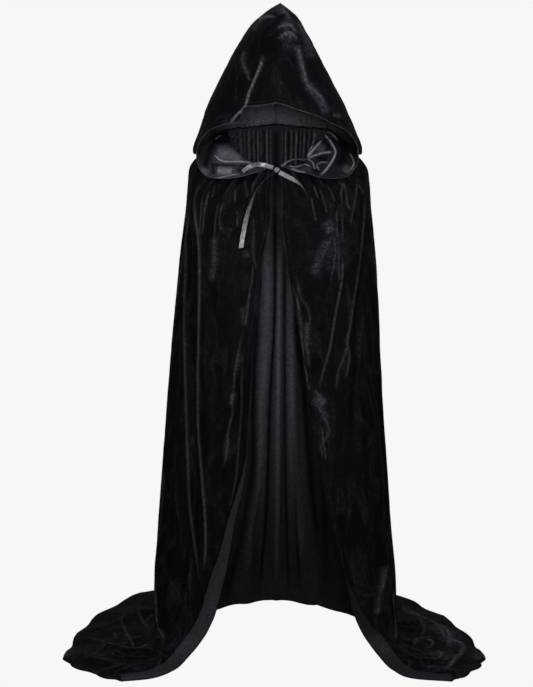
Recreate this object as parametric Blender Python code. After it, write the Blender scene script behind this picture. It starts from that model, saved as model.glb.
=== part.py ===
# Hooded full-length cloak, hollow and filled out as on a wearer. Metres, +Z up, the front faces -Y.
# Every panel is one closed wall of cloth. Heights in the tables are above the floor; the finished
# pieces are moved so that the origin is the middle of the neck opening, where the cloak is held.
import math

import bmesh
import bpy
import numpy as np

NECK_HEIGHT = 1.40  # the origin's height above the floor
WALL = 0.0016  # thickness of the velvet
SEAM = 0.0003  # clear gap between two pieces at a seam
SEAM_TURN = 0.0011  # how far a panel's edge stays from the neck seam line
RIBBON = {"width": 0.012, "thick": 0.001}

# The body from the neck seam (down 0) to the hem. Each row is a level round the wearer: the centre
# back, the widest point of the side, and the front edge. left and right are the viewer's.
BODY_COLUMNS = (
    "down back_y back_z side_left side_right side_y side_z "
    "edge_left edge_right edge_y edge_z round_left round_right round_front turn_left turn_right"
).split()
BODY_ROWS = [
    (0.00, 0.100, 1.444, 0.136, 0.138, 0.030, 1.437, 0.014, 0.007, -0.122, 1.334, 2.0, 2.0, 2.0, 0, 0),
    (0.03, 0.113, 1.418, 0.164, 0.167, 0.027, 1.412, 0.014, 0.007, -0.129, 1.308, 2.1, 2.1, 2.1, 0, 0),
    (0.07, 0.127, 1.385, 0.200, 0.203, 0.022, 1.380, 0.015, 0.007, -0.134, 1.270, 2.2, 2.2, 2.2, 0, 0),
    (0.12, 0.140, 1.340, 0.240, 0.246, 0.012, 1.337, 0.016, 0.008, -0.139, 1.222, 2.3, 2.3, 2.3, 0, 0),
    (0.16, 0.148, 1.300, 0.247, 0.254, 0.008, 1.298, 0.018, 0.010, -0.143, 1.185, 2.4, 2.4, 2.4, 0, 0),
    (0.25, 0.155, 1.215, 0.256, 0.259, 0.002, 1.213, 0.036, 0.021, -0.151, 1.105, 2.4, 2.4, 2.4, 0, 0),
    (0.37, 0.163, 1.095, 0.266, 0.269, -0.003, 1.095, 0.045, 0.041, -0.158, 0.995, 2.3, 2.3, 2.4, 0, 0),
    (0.55, 0.174, 0.920, 0.284, 0.279, -0.010, 0.920, 0.066, 0.065, -0.170, 0.840, 2.1, 2.1, 2.4, 0.12, 0),
    (0.75, 0.187, 0.720, 0.300, 0.287, -0.020, 0.720, 0.079, 0.092, -0.181, 0.670, 2.0, 2.0, 2.4, 0.36, 0),
    (0.93, 0.199, 0.540, 0.315, 0.299, -0.035, 0.540, 0.090, 0.118, -0.190, 0.500, 1.8, 1.8, 2.4, 0.58, 0.06),
    (1.08, 0.208, 0.390, 0.325, 0.310, -0.048, 0.390, 0.118, 0.147, -0.196, 0.372, 1.7, 1.7, 2.3, 0.66, 0.24),
    (1.17, 0.213, 0.300, 0.331, 0.317, -0.057, 0.300, 0.131, 0.169, -0.199, 0.290, 1.6, 1.6, 2.3, 0.74, 0.42),
    (1.25, 0.218, 0.225, 0.337, 0.324, -0.065, 0.225, 0.147, 0.187, -0.202, 0.215, 1.6, 1.6, 2.2, 0.88, 0.56),
    (1.38, 0.226, 0.100, 0.342, 0.332, -0.080, 0.100, 0.181, 0.220, -0.206, 0.095, 1.6, 1.6, 2.2, 1, 0.78),
    (1.44, 0.228, 0.042, 0.347, 0.340, -0.090, 0.044, 0.210, 0.248, -0.215, 0.045, 1.5, 1.5, 2.1, 1, 0.92),
    (1.49, 0.234, 0.008, 0.367, 0.358, -0.100, 0.010, 0.239, 0.274, -0.243, 0.014, 1.4, 1.35, 2.0, 1, 1),
    (1.56, 0.300, 0.003, 0.432, 0.420, -0.125, 0.003, 0.272, 0.303, -0.312, 0.003, 1.8, 1.7, 1.8, 1, 1),
    (1.65, 0.385, 0.003, 0.508, 0.488, -0.170, 0.003, 0.324, 0.346, -0.368, 0.003, 2.1, 1.9, 1.5, 1, 1),
    (1.73, 0.465, 0.003, 0.581, 0.563, -0.248, 0.003, 0.402, 0.446, -0.388, 0.003, 2.4, 2.0, 1.3, 1, 1),
]
BACK_SHARE = (0.50, 0.64)  # part of the panel's width behind the side point, at the neck and the hem
# the strip along the front edge, which turns back towards the floor; its first stretch is narrower
EDGE_STRIP = {"width": 0.052, "radius": 0.0055, "neck_share": 0.12, "full_at": 0.12}

# The fullness: fine gathers under the neck seam, and the deep folds that they hang in.
GATHERS = {"count": 20, "depth": 0.0022, "from": 0.006, "full": 0.022, "gone": 0.14}
FOLDS = {"count": 8.5, "lean": 0.6, "uneven": 0.22}
FOLD_DEPTHS = [  # distance down, depth of the folds behind and in front
    (0.00, 0.0000, 0.0000),
    (0.08, 0.0010, 0.0005),
    (0.25, 0.0040, 0.0020),
    (0.60, 0.0085, 0.0035),
    (1.10, 0.0130, 0.0060),
    (1.33, 0.0115, 0.0070),
    (1.44, 0.0030, 0.0040),
    (1.52, 0.0020, 0.0030),
    (1.64, 0.0040, 0.0040),
    (1.73, 0.0020, 0.0020),
]
SMOOTH_EDGE = (0.84, 0.94)  # the folds die out towards the front edge between these shares across
FLOOR_FROM, FLOOR_FULL = 1.42, 1.52  # where the folds turn from the fall into ridges on the floor
FLOOR_RIDGES = {"across": 5.3, "down": 2.6}  # slanting ridges that break up the even ones
HEM_SCALLOP = 0.004
# Single long creases on the front: x where they start and end, z range, half width, depth.
CREASES_LEFT = [
    {"x": (0.250, 0.222), "z": (1.27, 0.18), "half": 0.013, "depth": 0.010},
    {"x": (0.190, 0.150), "z": (1.15, 0.40), "half": 0.016, "depth": 0.006},
]
CREASES_RIGHT = [
    {"x": (0.240, 0.205), "z": (1.27, 0.60), "half": 0.013, "depth": 0.007},
    {"x": (0.182, 0.104), "z": (1.20, 0.72), "half": 0.016, "depth": 0.007},
    {"x": (0.285, 0.300), "z": (0.45, 0.10), "half": 0.014, "depth": 0.008},
]

# The hood's half from the neck seam (up 0) to the top seam (up 1). Each row runs from the free front
# edge round the side to the centre-back seam. Below up 0.35 it slumps over the shoulder like a collar.
HOOD_LEAN = [(1.42, 0.0), (1.60, -0.006), (1.70, -0.004), (1.79, 0.009)]  # height, sideways shift
# the share of the way round at which each column of the table lies
HOOD_ACROSS = {"edge": 0.0, "cheek": 0.16, "temple": 0.36, "side": 0.55, "rear": 0.79, "back": 1.0}
HOOD_ROWS = [
    (0.10, (0.060, -0.142, 1.318), (0.096, -0.122, 1.341), (0.155, -0.040, 1.406),
     (0.180, 0.026, 1.414), (0.118, 0.098, 1.430), (0.0, 0.122, 1.441)),
    (0.20, (0.128, -0.143, 1.304), (0.152, -0.112, 1.332), (0.198, -0.035, 1.388),
     (0.208, 0.018, 1.391), (0.150, 0.121, 1.401), (0.0, 0.150, 1.414)),
    (0.30, (0.190, -0.112, 1.310), (0.206, -0.080, 1.342), (0.219, -0.028, 1.370),
     (0.228, 0.014, 1.370), (0.170, 0.140, 1.378), (0.0, 0.168, 1.392)),
    (0.40, (0.217, -0.088, 1.350), (0.220, -0.050, 1.374), (0.228, -0.010, 1.388),
     (0.230, 0.020, 1.388), (0.176, 0.150, 1.402), (0.0, 0.180, 1.420)),
    (0.50, (0.214, -0.074, 1.394), (0.215, -0.040, 1.413), (0.213, -0.004, 1.426),
     (0.211, 0.026, 1.428), (0.170, 0.150, 1.460), (0.0, 0.186, 1.482)),
    (0.60, (0.186, -0.096, 1.428), (0.192, -0.055, 1.458), (0.193, -0.006, 1.482),
     (0.192, 0.032, 1.490), (0.153, 0.143, 1.530), (0.0, 0.182, 1.556)),
    (0.70, (0.150, -0.118, 1.447), (0.161, -0.075, 1.492), (0.168, -0.018, 1.532),
     (0.167, 0.034, 1.547), (0.130, 0.132, 1.590), (0.0, 0.170, 1.618)),
    (0.80, (0.110, -0.137, 1.465), (0.127, -0.096, 1.528), (0.138, -0.032, 1.588),
     (0.134, 0.034, 1.611), (0.101, 0.117, 1.652), (0.0, 0.152, 1.678)),
    (0.90, (0.060, -0.154, 1.481), (0.078, -0.122, 1.562), (0.094, -0.052, 1.645),
     (0.092, 0.024, 1.684), (0.067, 0.092, 1.719), (0.0, 0.120, 1.736)),
    (0.955, (0.032, -0.160, 1.490), (0.046, -0.138, 1.578), (0.060, -0.081, 1.668),
     (0.058, -0.004, 1.722), (0.040, 0.064, 1.757), (0.0, 0.092, 1.765)),
    (1.00, (0.0, -0.165, 1.500), (0.0, -0.150, 1.590), (0.0, -0.108, 1.686),
     (0.0, -0.035, 1.750), (0.0, 0.032, 1.779), (0.0, 0.062, 1.786)),
]
HOOD_FOLDS = {"count": 3.5, "depth": 0.006, "from": 0.32, "full": 0.45, "gone": 0.85}
# The left half's front edge catches in a tuck: it steps up and back just inside of x.
HOOD_TUCK = {"x": 0.086, "soft": 0.010, "lift": 0.012, "drop": 0.008, "step": 0.009, "spread": 0.05}

# The satin tie: points that each stretch follows, and how far it has turned, in degrees.
TIE_PATHS = {
    "tie_run_left": [(-0.094, -0.152, 1.322, 40), (-0.078, -0.152, 1.334, 75),
                     (-0.058, -0.150, 1.342, 100), (-0.036, -0.150, 1.340, 70),
                     (-0.016, -0.151, 1.334, 30)],
    "tie_run_right": [(0.074, -0.134, 1.352, 60), (0.050, -0.142, 1.354, 75),
                      (0.028, -0.148, 1.348, 60), (0.011, -0.151, 1.336, 30)],
    "tie_end_left": [(-0.010, -0.166, 1.318, 20), (-0.032, -0.172, 1.302, 50),
                     (-0.052, -0.171, 1.277, 80), (-0.069, -0.169, 1.242, 70),
                     (-0.080, -0.168, 1.205, 45), (-0.088, -0.168, 1.165, 20),
                     (-0.094, -0.168, 1.122, 10)],
    "tie_end_right": [(0.006, -0.166, 1.318, 10), (0.024, -0.175, 1.313, 30),
                      (0.045, -0.181, 1.304, 50), (0.063, -0.182, 1.288, 65),
                      (0.074, -0.180, 1.266, 80)],
}
TIE_KNOT = {"at": (-0.002, -0.158, 1.327), "size": (0.021, 0.013, 0.026)}

# Mesh fineness: columns round a panel and rows down it.
BODY_COLUMNS_ROUND = 40
STRIP_COLUMNS = 3
NECK_LEVELS = (0.0, 0.007, 0.022, 0.05)
BODY_LEVELS = (0.085, 0.12, 0.16, 0.23, 0.32, 0.43, 0.56, 0.70, 0.84, 0.96, 1.06, 1.11, 1.15,
               1.19, 1.24, 1.31, 1.38, 1.43, 1.465, 1.50, 1.55, 1.61, 1.67, 1.73)
HOOD_ROUND = 22
HOOD_LEVELS = (0.0, 0.05, 0.10, 0.15, 0.20, 0.24, 0.28, 0.32, 0.36, 0.40, 0.45, 0.50, 0.56, 0.62,
               0.68, 0.74, 0.80, 0.86, 0.91, 0.955, 0.98, 1.0)
VELVET = {"color": (0.006, 0.006, 0.008), "roughness": 0.55}
SATIN = {"color": (0.10, 0.10, 0.115), "roughness": 0.3}


def curve_through(knots, values, at, bounded=True):
    """Smooth curve through values (one row per knot); bounded keeps it from overshooting them."""
    knots, values, at = (np.asarray(a, float) for a in (knots, values, at))
    step = np.diff(knots)[:, None]
    chord = np.diff(values, axis=0) / step
    slope = np.empty_like(values)
    slope[0], slope[-1] = chord[0], chord[-1]
    slope[1:-1] = (chord[:-1] * step[1:] + chord[1:] * step[:-1]) / (step[1:] + step[:-1])
    if bounded:
        small = 3 * np.minimum(abs(chord[:-1]), abs(chord[1:]))
        turns = chord[:-1] * chord[1:] <= 0
        slope[1:-1] = np.where(turns, 0, np.clip(slope[1:-1], -small, small))
    place = np.clip(np.searchsorted(knots, at, side="right") - 1, 0, len(knots) - 2)
    h = step[place]
    t = ((at - knots[place]) / (knots[place + 1] - knots[place]))[:, None]
    return (
        values[place] * (1 + 2 * t) * (1 - t) ** 2
        + slope[place] * h * t * (1 - t) ** 2
        + values[place + 1] * t * t * (3 - 2 * t)
        - slope[place + 1] * h * t * t * (1 - t)
    )


def ease(value, low, high):
    """0 below low, 1 above high, smooth between."""
    t = np.clip((value - low) / (high - low), 0, 1)
    return t * t * (3 - 2 * t)


def unit(vectors):
    return vectors / np.maximum(np.linalg.norm(vectors, axis=-1, keepdims=True), 1e-12)


def surface_normals(points):
    """Unit normals of a grid of points, on the garment's outer side."""
    return unit(np.cross(np.gradient(points, axis=1), np.gradient(points, axis=0)))


def level_at(down):
    table = np.array(BODY_ROWS)
    values = curve_through(table[:, 0], table[:, 1:], np.atleast_1d(down))[0]
    return dict(zip(BODY_COLUMNS[1:], values))


def strip_width(down):
    share = EDGE_STRIP["neck_share"]
    return EDGE_STRIP["width"] * (share + (1 - share) * ease(down, 0, EDGE_STRIP["full_at"]))


def strip_reach(turn, width):
    """How far the front strip, turned back by this angle, reaches past the line where it turns."""
    radius = EDGE_STRIP["radius"]
    flat = width - radius * turn
    return max(radius, radius * math.sin(turn) + flat * math.cos(turn))


def level_curve(down, side, dense=240):
    """One level of the right half's shape, from the centre back to the front edge, unfolded."""
    row = level_at(down)
    side_x, edge_x = row["side_" + side], row["edge_" + side]
    edge_x += strip_reach(row["turn_" + side] * math.pi, strip_width(down))
    behind_round = row["round_" + side]
    angle = np.linspace(0, math.pi / 2, dense)
    far, near = np.sin(angle), np.cos(angle)
    out, back = far ** (2 / behind_round), near ** (2 / behind_round)
    behind = np.stack([
        side_x * out,
        row["side_y"] + (row["back_y"] - row["side_y"]) * back,
        row["side_z"] + (row["back_z"] - row["side_z"]) * back,
    ], axis=1)
    out, front = near ** (2 / row["round_front"]), far ** (2 / row["round_front"])
    before = np.stack([
        edge_x + (side_x - edge_x) * out,
        row["side_y"] + (row["edge_y"] - row["side_y"]) * front,
        row["side_z"] + (row["edge_z"] - row["side_z"]) * front,
    ], axis=1)
    return behind, before


def even_points(curve, shares):
    """Points at these shares of a curve's length."""
    length = np.append(0, np.cumsum(np.linalg.norm(np.diff(curve, axis=0), axis=1)))
    return np.stack([np.interp(shares * length[-1], length, curve[:, k]) for k in range(3)], axis=1)


def level_points(down, side, across):
    behind, before = level_curve(down, side)
    middle = BACK_SHARE[0] + (BACK_SHARE[1] - BACK_SHARE[0]) * down / BODY_ROWS[-1][0]
    first = even_points(behind, np.clip(across / middle, 0, 1))
    second = even_points(before, np.clip((across - middle) / (1 - middle), 0, 1))
    return np.where((across < middle)[:, None], first, second)


def fold_wave(across):
    """Height of the hanging folds round the panel, -1 to 1, starting in a trough at the back."""
    drift = FOLDS["uneven"] * np.sin(math.tau * (1.7 * across + 0.1)) * across
    phase = math.tau * (FOLDS["count"] * across + drift)
    return -np.cos(phase + FOLDS["lean"] * np.sin(phase) * across)


def crease_depth(points, creases):
    """How far the single creases push the front in at each point."""
    depth = np.zeros(points.shape[:-1])
    for crease in creases:
        (x_top, x_low), (z_top, z_low) = crease["x"], crease["z"]
        share = (z_top - points[..., 2]) / (z_top - z_low)
        middle = x_top + (x_low - x_top) * np.clip(share, 0, 1)
        fades = ease(share, -0.08, 0.15) * (1 - ease(share, 0.85, 1.08))
        from_middle = (abs(points[..., 0]) - middle) / crease["half"]
        depth += crease["depth"] * np.exp(-from_middle**2) * fades * (points[..., 1] < 0.03)
    return depth


def turned_strip(side, points, normals, downs, shares):
    """The strip beyond the front edge, which rolls back over the velvet where turn is 1."""
    edge, normal = points[:, -1], normals[:, -1]
    along = unit(np.gradient(edge, axis=0))
    beyond = unit(np.cross(normal, along))
    beyond *= np.sign(np.sum(beyond * (edge - points[:, -2]), axis=1))[:, None]
    turn = np.array([level_at(d)["turn_" + side] for d in downs]) * math.pi
    width = strip_width(downs)
    columns = []
    for share in shares:
        length, radius = share * width, EDGE_STRIP["radius"]
        bent = np.minimum(turn, length / radius)
        rest = length - bent * radius
        out = radius * np.sin(bent) + rest * np.cos(bent)
        up = radius * (1 - np.cos(bent)) + rest * np.sin(bent)
        columns.append(edge + out[:, None] * beyond + up[:, None] * normal)
    return np.stack(columns, axis=1)


def body_surface(side, downs, across, strip_shares):
    """Middle surface of a body half at these distances down and shares across."""
    downs, across = np.asarray(downs, float), np.asarray(across, float)
    points = np.array([level_points(d, side, across) for d in downs])
    normals = surface_normals(points)
    depths = np.array(FOLD_DEPTHS)
    behind, before = curve_through(depths[:, 0], depths[:, 1:], downs).T[:, :, None]
    front = ease(across, 0.45, 0.75)[None, :]
    smooth_edge = 1 - ease(across, *SMOOTH_EDGE)[None, :]
    depth = (behind * (1 - front) + before * front) * smooth_edge
    wave = fold_wave(across)[None, :]
    lying = ease(downs, FLOOR_FROM, FLOOR_FULL)[:, None]
    push = depth * wave * (1 - lying)
    gathers = GATHERS
    share = ease(downs, gathers["from"], gathers["full"]) * (1 - ease(downs, 0.04, gathers["gone"]))
    ripple = np.cos(math.tau * gathers["count"] * across)
    push = push + gathers["depth"] * share[:, None] * ripple[None, :]
    push = push - crease_depth(points, CREASES_LEFT if side == "left" else CREASES_RIGHT)
    points = points + push[..., None] * normals
    ridges = 1 + 0.5 * wave + 0.5 * np.cos(math.tau * (FLOOR_RIDGES["across"] * across[None, :]
                                                    + FLOOR_RIDGES["down"] * downs[:, None]))
    points[..., 2] += depth * ridges * lying
    outward = unit(points * (1, 1, 0)) * HEM_SCALLOP
    points += outward * (wave * ease(downs, 1.55, 1.73)[:, None])[..., None]
    normals = surface_normals(points)
    if len(strip_shares):
        strip = turned_strip(side, points, normals, downs, strip_shares)
        points = np.concatenate([points, strip], axis=1)
    return points


def neck_seam(side, across):
    """The neck seam from the front edge (0) to the centre back (1)."""
    return level_points(0.0, side, 1 - np.asarray(across, float))


def hood_surface(side, across, ups):
    """Middle surface of a hood half at these shares round and up."""
    across, ups = np.asarray(across, float), np.asarray(ups, float)
    rows = [neck_seam(side, across)]
    rows[0][:, 2] += 2 * SEAM_TURN
    for row in HOOD_ROWS:
        rows.append(curve_through(list(HOOD_ACROSS.values()), row[1:], across, bounded=False))
    knots = [0.0] + [row[0] for row in HOOD_ROWS]
    stacked = np.array(rows).reshape(len(rows), -1)
    points = curve_through(knots, stacked, ups, bounded=False).reshape(len(ups), len(across), 3)
    folds = HOOD_FOLDS
    share = ease(ups, folds["from"], folds["full"]) * (1 - ease(ups, folds["full"], folds["gone"]))
    wave = np.cos(math.tau * folds["count"] * across) * ease(across, 0.1, 0.35)
    push = folds["depth"] * share[:, None] * wave[None, :]
    points = points + push[..., None] * surface_normals(points)
    return tucked(points, across, ups) if side == "left" else points


def tucked(points, across, ups):
    """The hood's left front edge with its tuck: inside of the line it is lifted and set back."""
    tuck = HOOD_TUCK
    near_edge = (1 - ease(across, 0.0, 0.30))[None, :] * ease(ups, 0.5, 0.62)[:, None]
    from_line = points[..., 0] - tuck["x"]
    inside = (1 - np.tanh(from_line / tuck["soft"])) / 2
    fade = np.exp(-((from_line / tuck["spread"]) ** 2))
    points[..., 2] += near_edge * fade * (tuck["lift"] * inside - tuck["drop"] * (1 - inside))
    points[..., 1] += near_edge * fade * tuck["step"] * (inside - 0.5)
    return points


def lean_at(heights):
    """How far the hood stands to the right of the middle at these heights."""
    table = np.array(HOOD_LEAN)
    flat = np.clip(heights.ravel(), table[0, 0], table[-1, 0])
    return curve_through(table[:, 0], table[:, 1:], flat).reshape(heights.shape)


def faces_between(upper, lower):
    """Faces from one row of points to the next, which has as many points or half as many columns."""
    pairs = range(len(lower) - 1)
    if len(upper) == len(lower):
        return [(upper[k], lower[k], lower[k + 1], upper[k + 1]) for k in pairs]
    faces = []
    for k in pairs:
        left, middle, right = upper[2 * k : 2 * k + 3]
        faces += [(left, lower[k], middle), (middle, lower[k], lower[k + 1]), (middle, lower[k + 1], right)]
    return faces


def wall_from_grids(name, grids, sign, thickness, material):
    """A closed wall round one or two grids of points; a second grid has half as many columns."""
    body = bmesh.new()
    sheets = []
    for offset in (thickness / 2, -thickness / 2):
        rows = []
        for grid in grids:
            layer = grid + surface_normals(grid) * offset
            layer[..., 0] = np.maximum(layer[..., 0], SEAM / 2) * sign + lean_at(layer[..., 2])
            layer[..., 2] -= NECK_HEIGHT
            rows += [[body.verts.new(point) for point in row] for row in layer]
        for upper, lower in zip(rows, rows[1:]):
            for face in faces_between(upper, lower):
                body.faces.new(face)
        sheets.append(rows)
    rims = [
        ([r[0] for r in sheets[0]], [r[0] for r in sheets[1]]),
        (sheets[0][-1], sheets[1][-1]),
        ([r[-1] for r in sheets[0]][::-1], [r[-1] for r in sheets[1]][::-1]),
        (sheets[0][0][::-1], sheets[1][0][::-1]),
    ]
    for near, far in rims:
        for k in range(len(near) - 1):
            body.faces.new((near[k + 1], near[k], far[k], far[k + 1]))
    bmesh.ops.recalc_face_normals(body, faces=body.faces)
    return finish(name, body, material)


def finish(name, body, material):
    if body.calc_volume(signed=True) < 0:
        bmesh.ops.reverse_faces(body, faces=body.faces)
    mesh = bpy.data.meshes.new(name)
    body.to_mesh(mesh)
    body.free()
    mesh.shade_smooth()
    mesh.set_sharp_from_angle(angle=math.radians(50))
    mesh.materials.append(material)
    thing = bpy.data.objects.new(name, mesh)
    bpy.context.scene.collection.objects.link(thing)
    return thing


def finish_material(name, look):
    material = bpy.data.materials.new(name)
    material.use_nodes = True
    shader = material.node_tree.nodes["Principled BSDF"]
    shader.inputs["Base Color"].default_value = (*look["color"], 1)
    shader.inputs["Roughness"].default_value = look["roughness"]
    shader.inputs["Metallic"].default_value = 0.0
    return material


def make_body(side):
    strip = np.linspace(0, 1, STRIP_COLUMNS + 1)[1:]
    round_shares = np.linspace(0, 1, BODY_COLUMNS_ROUND + 1)
    levels = [SEAM_TURN + d for d in NECK_LEVELS]
    fine_shares = np.linspace(0, 1, 2 * BODY_COLUMNS_ROUND + 1)
    fine_strip = np.linspace(0, 1, 2 * STRIP_COLUMNS + 1)[1:]
    everything = list(levels) + list(BODY_LEVELS)
    fine = body_surface(side, everything, fine_shares, fine_strip)[: len(levels)]
    coarse = body_surface(side, everything, round_shares, strip)[len(levels) :]
    sign = -1 if side == "left" else 1
    material = finish_material("velvet_body_" + side, VELVET)
    return wall_from_grids("body_" + side, [fine, coarse], sign, WALL, material)


def make_hood(side):
    points = hood_surface(side, np.linspace(0, 1, HOOD_ROUND + 1), HOOD_LEVELS)
    sign = -1 if side == "left" else 1
    material = finish_material("velvet_hood_" + side, VELVET)
    return wall_from_grids("hood_" + side, [points], sign, WALL, material)


def make_ribbon(name, path, material):
    """A flat ribbon along a path, turned about it."""
    path = np.array(path, float)
    shares = np.linspace(0, 1, len(path))
    places = np.linspace(0, 1, 4 * len(path) - 3)
    line = curve_through(shares, path, places, bounded=False)
    centre, turned = line[:, :3], np.radians(line[:, 3])
    along = unit(np.gradient(centre, axis=0))
    level = unit(np.cross(along, (0.0, -1.0, 0.0)))
    facing = np.cross(level, along)
    across = level * np.cos(turned)[:, None] + facing * np.sin(turned)[:, None]
    half = RIBBON["width"] / 2
    body = bmesh.new()
    rings = []
    depth = unit(np.cross(along, across)) * RIBBON["thick"] / 2
    for k, point in enumerate(centre):
        point = point - (0, 0, NECK_HEIGHT)
        corners = [(1, 1), (0, 1.2), (-1, 1), (-1, -1), (0, -0.8), (1, -1)]
        rings.append([
            body.verts.new(point + across[k] * half * a + depth[k] * b) for a, b in corners
        ])
    for before, after in zip(rings, rings[1:]):
        for k in range(6):
            body.faces.new((before[k], before[k - 1], after[k - 1], after[k]))
    body.faces.new(rings[0])
    body.faces.new(rings[-1][::-1])
    bmesh.ops.recalc_face_normals(body, faces=body.faces)
    return finish(name, body, material)


def make_knot(material):
    """The tied knot: a rounded lump, pinched round its middle by the turn of ribbon across it."""
    body = bmesh.new()
    bmesh.ops.create_uvsphere(body, u_segments=14, v_segments=9, radius=1)
    for vertex in body.verts:
        x, y, z = vertex.co
        pinch = 1 - 0.14 * math.exp(-((z / 0.4) ** 2))
        vertex.co = (
            x * pinch * TIE_KNOT["size"][0] / 2 + TIE_KNOT["at"][0],
            y * pinch * TIE_KNOT["size"][1] / 2 + TIE_KNOT["at"][1],
            z * TIE_KNOT["size"][2] / 2 + TIE_KNOT["at"][2] - NECK_HEIGHT,
        )
    return finish("tie_knot", body, material)


def main():
    for thing in list(bpy.data.objects):
        bpy.data.objects.remove(thing)
    for side in ("left", "right"):
        make_body(side)
        make_hood(side)
    for name, path in TIE_PATHS.items():
        make_ribbon(name, path, finish_material("satin_" + name, SATIN))
    make_knot(finish_material("satin_knot", SATIN))


main()
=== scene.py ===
import math

import bpy
import numpy as np
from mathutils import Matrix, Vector


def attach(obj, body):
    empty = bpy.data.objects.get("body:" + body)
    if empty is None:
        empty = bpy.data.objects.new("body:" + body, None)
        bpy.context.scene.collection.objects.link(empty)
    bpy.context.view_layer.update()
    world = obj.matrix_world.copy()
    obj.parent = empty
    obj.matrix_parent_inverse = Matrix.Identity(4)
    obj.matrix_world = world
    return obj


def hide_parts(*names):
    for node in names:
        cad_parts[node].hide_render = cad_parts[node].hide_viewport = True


# A hooded full-length cloak of black crushed velvet, tied at the throat with a grey satin ribbon.
# Metres. Heights in the tables are above the floor; the frame's origin is in the neck opening.

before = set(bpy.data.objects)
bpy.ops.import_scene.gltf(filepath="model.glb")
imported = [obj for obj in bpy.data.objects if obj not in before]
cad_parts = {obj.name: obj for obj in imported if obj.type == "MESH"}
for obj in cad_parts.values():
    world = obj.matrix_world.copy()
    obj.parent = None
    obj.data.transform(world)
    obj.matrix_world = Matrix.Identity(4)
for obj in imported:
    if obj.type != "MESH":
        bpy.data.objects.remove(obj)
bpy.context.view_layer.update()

neckHeight = 1.40  # of the frame's origin above the floor
signOf = {"Left": -1, "Right": 1}  # both halves are worked out on the right, and the left is mirrored
viewer = {"x": -0.03, "y": -3.6, "height": 1.327, "down": 7.7, "lens": 67.4, "film": 36}


def makeCamera():
    data = bpy.data.cameras.new("viewer")
    data.lens = viewer["lens"]
    data.sensor_width = viewer["film"]
    camera = bpy.data.objects.new("viewer", data)
    camera.location = (viewer["x"], viewer["y"], viewer["height"] - neckHeight)
    camera.rotation_euler = (math.radians(90 - viewer["down"]), 0, 0)
    bpy.context.scene.collection.objects.link(camera)
    bpy.context.scene.camera = camera


def addPiece(name, mesh):
    piece = bpy.data.objects.new(name, mesh)
    bpy.context.scene.collection.objects.link(piece)
    return piece


# A smooth curve through values, one row for each knot; bounded keeps it from overshooting them.
def curveThrough(knots, values, at, bounded=True):
    knots, values, at = (np.asarray(a, float) for a in (knots, values, at))
    step = np.diff(knots)[:, None]
    chord = np.diff(values, axis=0) / step
    slope = np.empty_like(values)
    slope[0], slope[-1] = chord[0], chord[-1]
    slope[1:-1] = (chord[:-1] * step[1:] + chord[1:] * step[:-1]) / (step[1:] + step[:-1])
    if bounded:
        small = 3 * np.minimum(abs(chord[:-1]), abs(chord[1:]))
        turns = chord[:-1] * chord[1:] <= 0
        slope[1:-1] = np.where(turns, 0, np.clip(slope[1:-1], -small, small))
    place = np.clip(np.searchsorted(knots, at, side="right") - 1, 0, len(knots) - 2)
    h = step[place]
    t = ((at - knots[place]) / (knots[place + 1] - knots[place]))[:, None]
    return (
        values[place] * (1 + 2 * t) * (1 - t) ** 2
        + slope[place] * h * t * (1 - t) ** 2
        + values[place + 1] * t * t * (3 - 2 * t)
        - slope[place + 1] * h * t * t * (1 - t)
    )


# 0 below low, 1 above high, smooth between
def ease(value, low, high):
    t = np.clip((value - low) / (high - low), 0, 1)
    return t * t * (3 - 2 * t)


def unitOf(vectors):
    return vectors / np.maximum(np.linalg.norm(vectors, axis=-1, keepdims=True), 1e-12)


# unit normals of a grid of points, on the garment's outer side
def gridNormals(points):
    return unitOf(np.cross(np.gradient(points, axis=1), np.gradient(points, axis=0)))


# Soft noise, -1 to 1, that changes over these lengths along x, y and z.
def softNoise(points, lengths, seed):
    cells = 32
    lattice = np.random.default_rng(seed).uniform(-1, 1, (cells, cells, cells))
    place = points / np.asarray(lengths, float)
    low = np.floor(place).astype(int)
    t = place - low
    t = t * t * (3 - 2 * t)
    total = np.zeros(points.shape[:-1])
    for corner in np.ndindex(2, 2, 2):
        weight = np.prod(np.where(np.array(corner) == 1, t, 1 - t), axis=-1)
        i, j, k = np.moveaxis((low + corner) % cells, -1, 0)
        total += weight * lattice[i, j, k]
    return total


# long soft forms with half as much of shorter ones
def layeredNoise(points, longer, shorter, seed):
    return softNoise(points, longer, seed) + 0.5 * softNoise(points, shorter, seed + 1)


# The points of a grid that lie near a line drawn on it: which, how far away, and how far along it.
def nearPath(across, heights, path, reach):
    path = np.array(path, float)
    stepsEach = 4
    places = np.linspace(0, 1, stepsEach * (len(path) - 1) + 1)
    line = curveThrough(np.linspace(0, 1, len(path)), path, places, bounded=False)
    low, high = line.min(0) - reach, line.max(0) + reach
    near = (across > low[0]) & (across < high[0]) & (heights > low[1]) & (heights < high[1])
    spot = np.stack([across[near], heights[near]], axis=-1)
    best, along = np.full(len(spot), np.inf), np.zeros(len(spot))
    for k in range(len(line) - 1):
        run = line[k + 1] - line[k]
        t = np.clip((spot - line[k]) @ run / (run @ run), 0, 1)
        gap = np.linalg.norm(spot - line[k] - t[:, None] * run, axis=1)
        closer = gap < best
        best[closer] = gap[closer]
        along[closer] = (k + t[closer]) / (len(line) - 1)
    return near, best, along


# In half widths: how far a crease or a mark reaches, a crease's sunken skirt and its painted highlight. The
# rest
# are shares: the skirt's depth, and where along the line they start and end.
creaseShape = {"reach": 4, "skirt": 2.4, "skirtDepth": 0.4, "shine": 0.45, "start": 0.15, "end": 0.85}
markShape = {"reach": 3, "start": (-0.02, 0.12), "end": (0.88, 1.02)}
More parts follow.
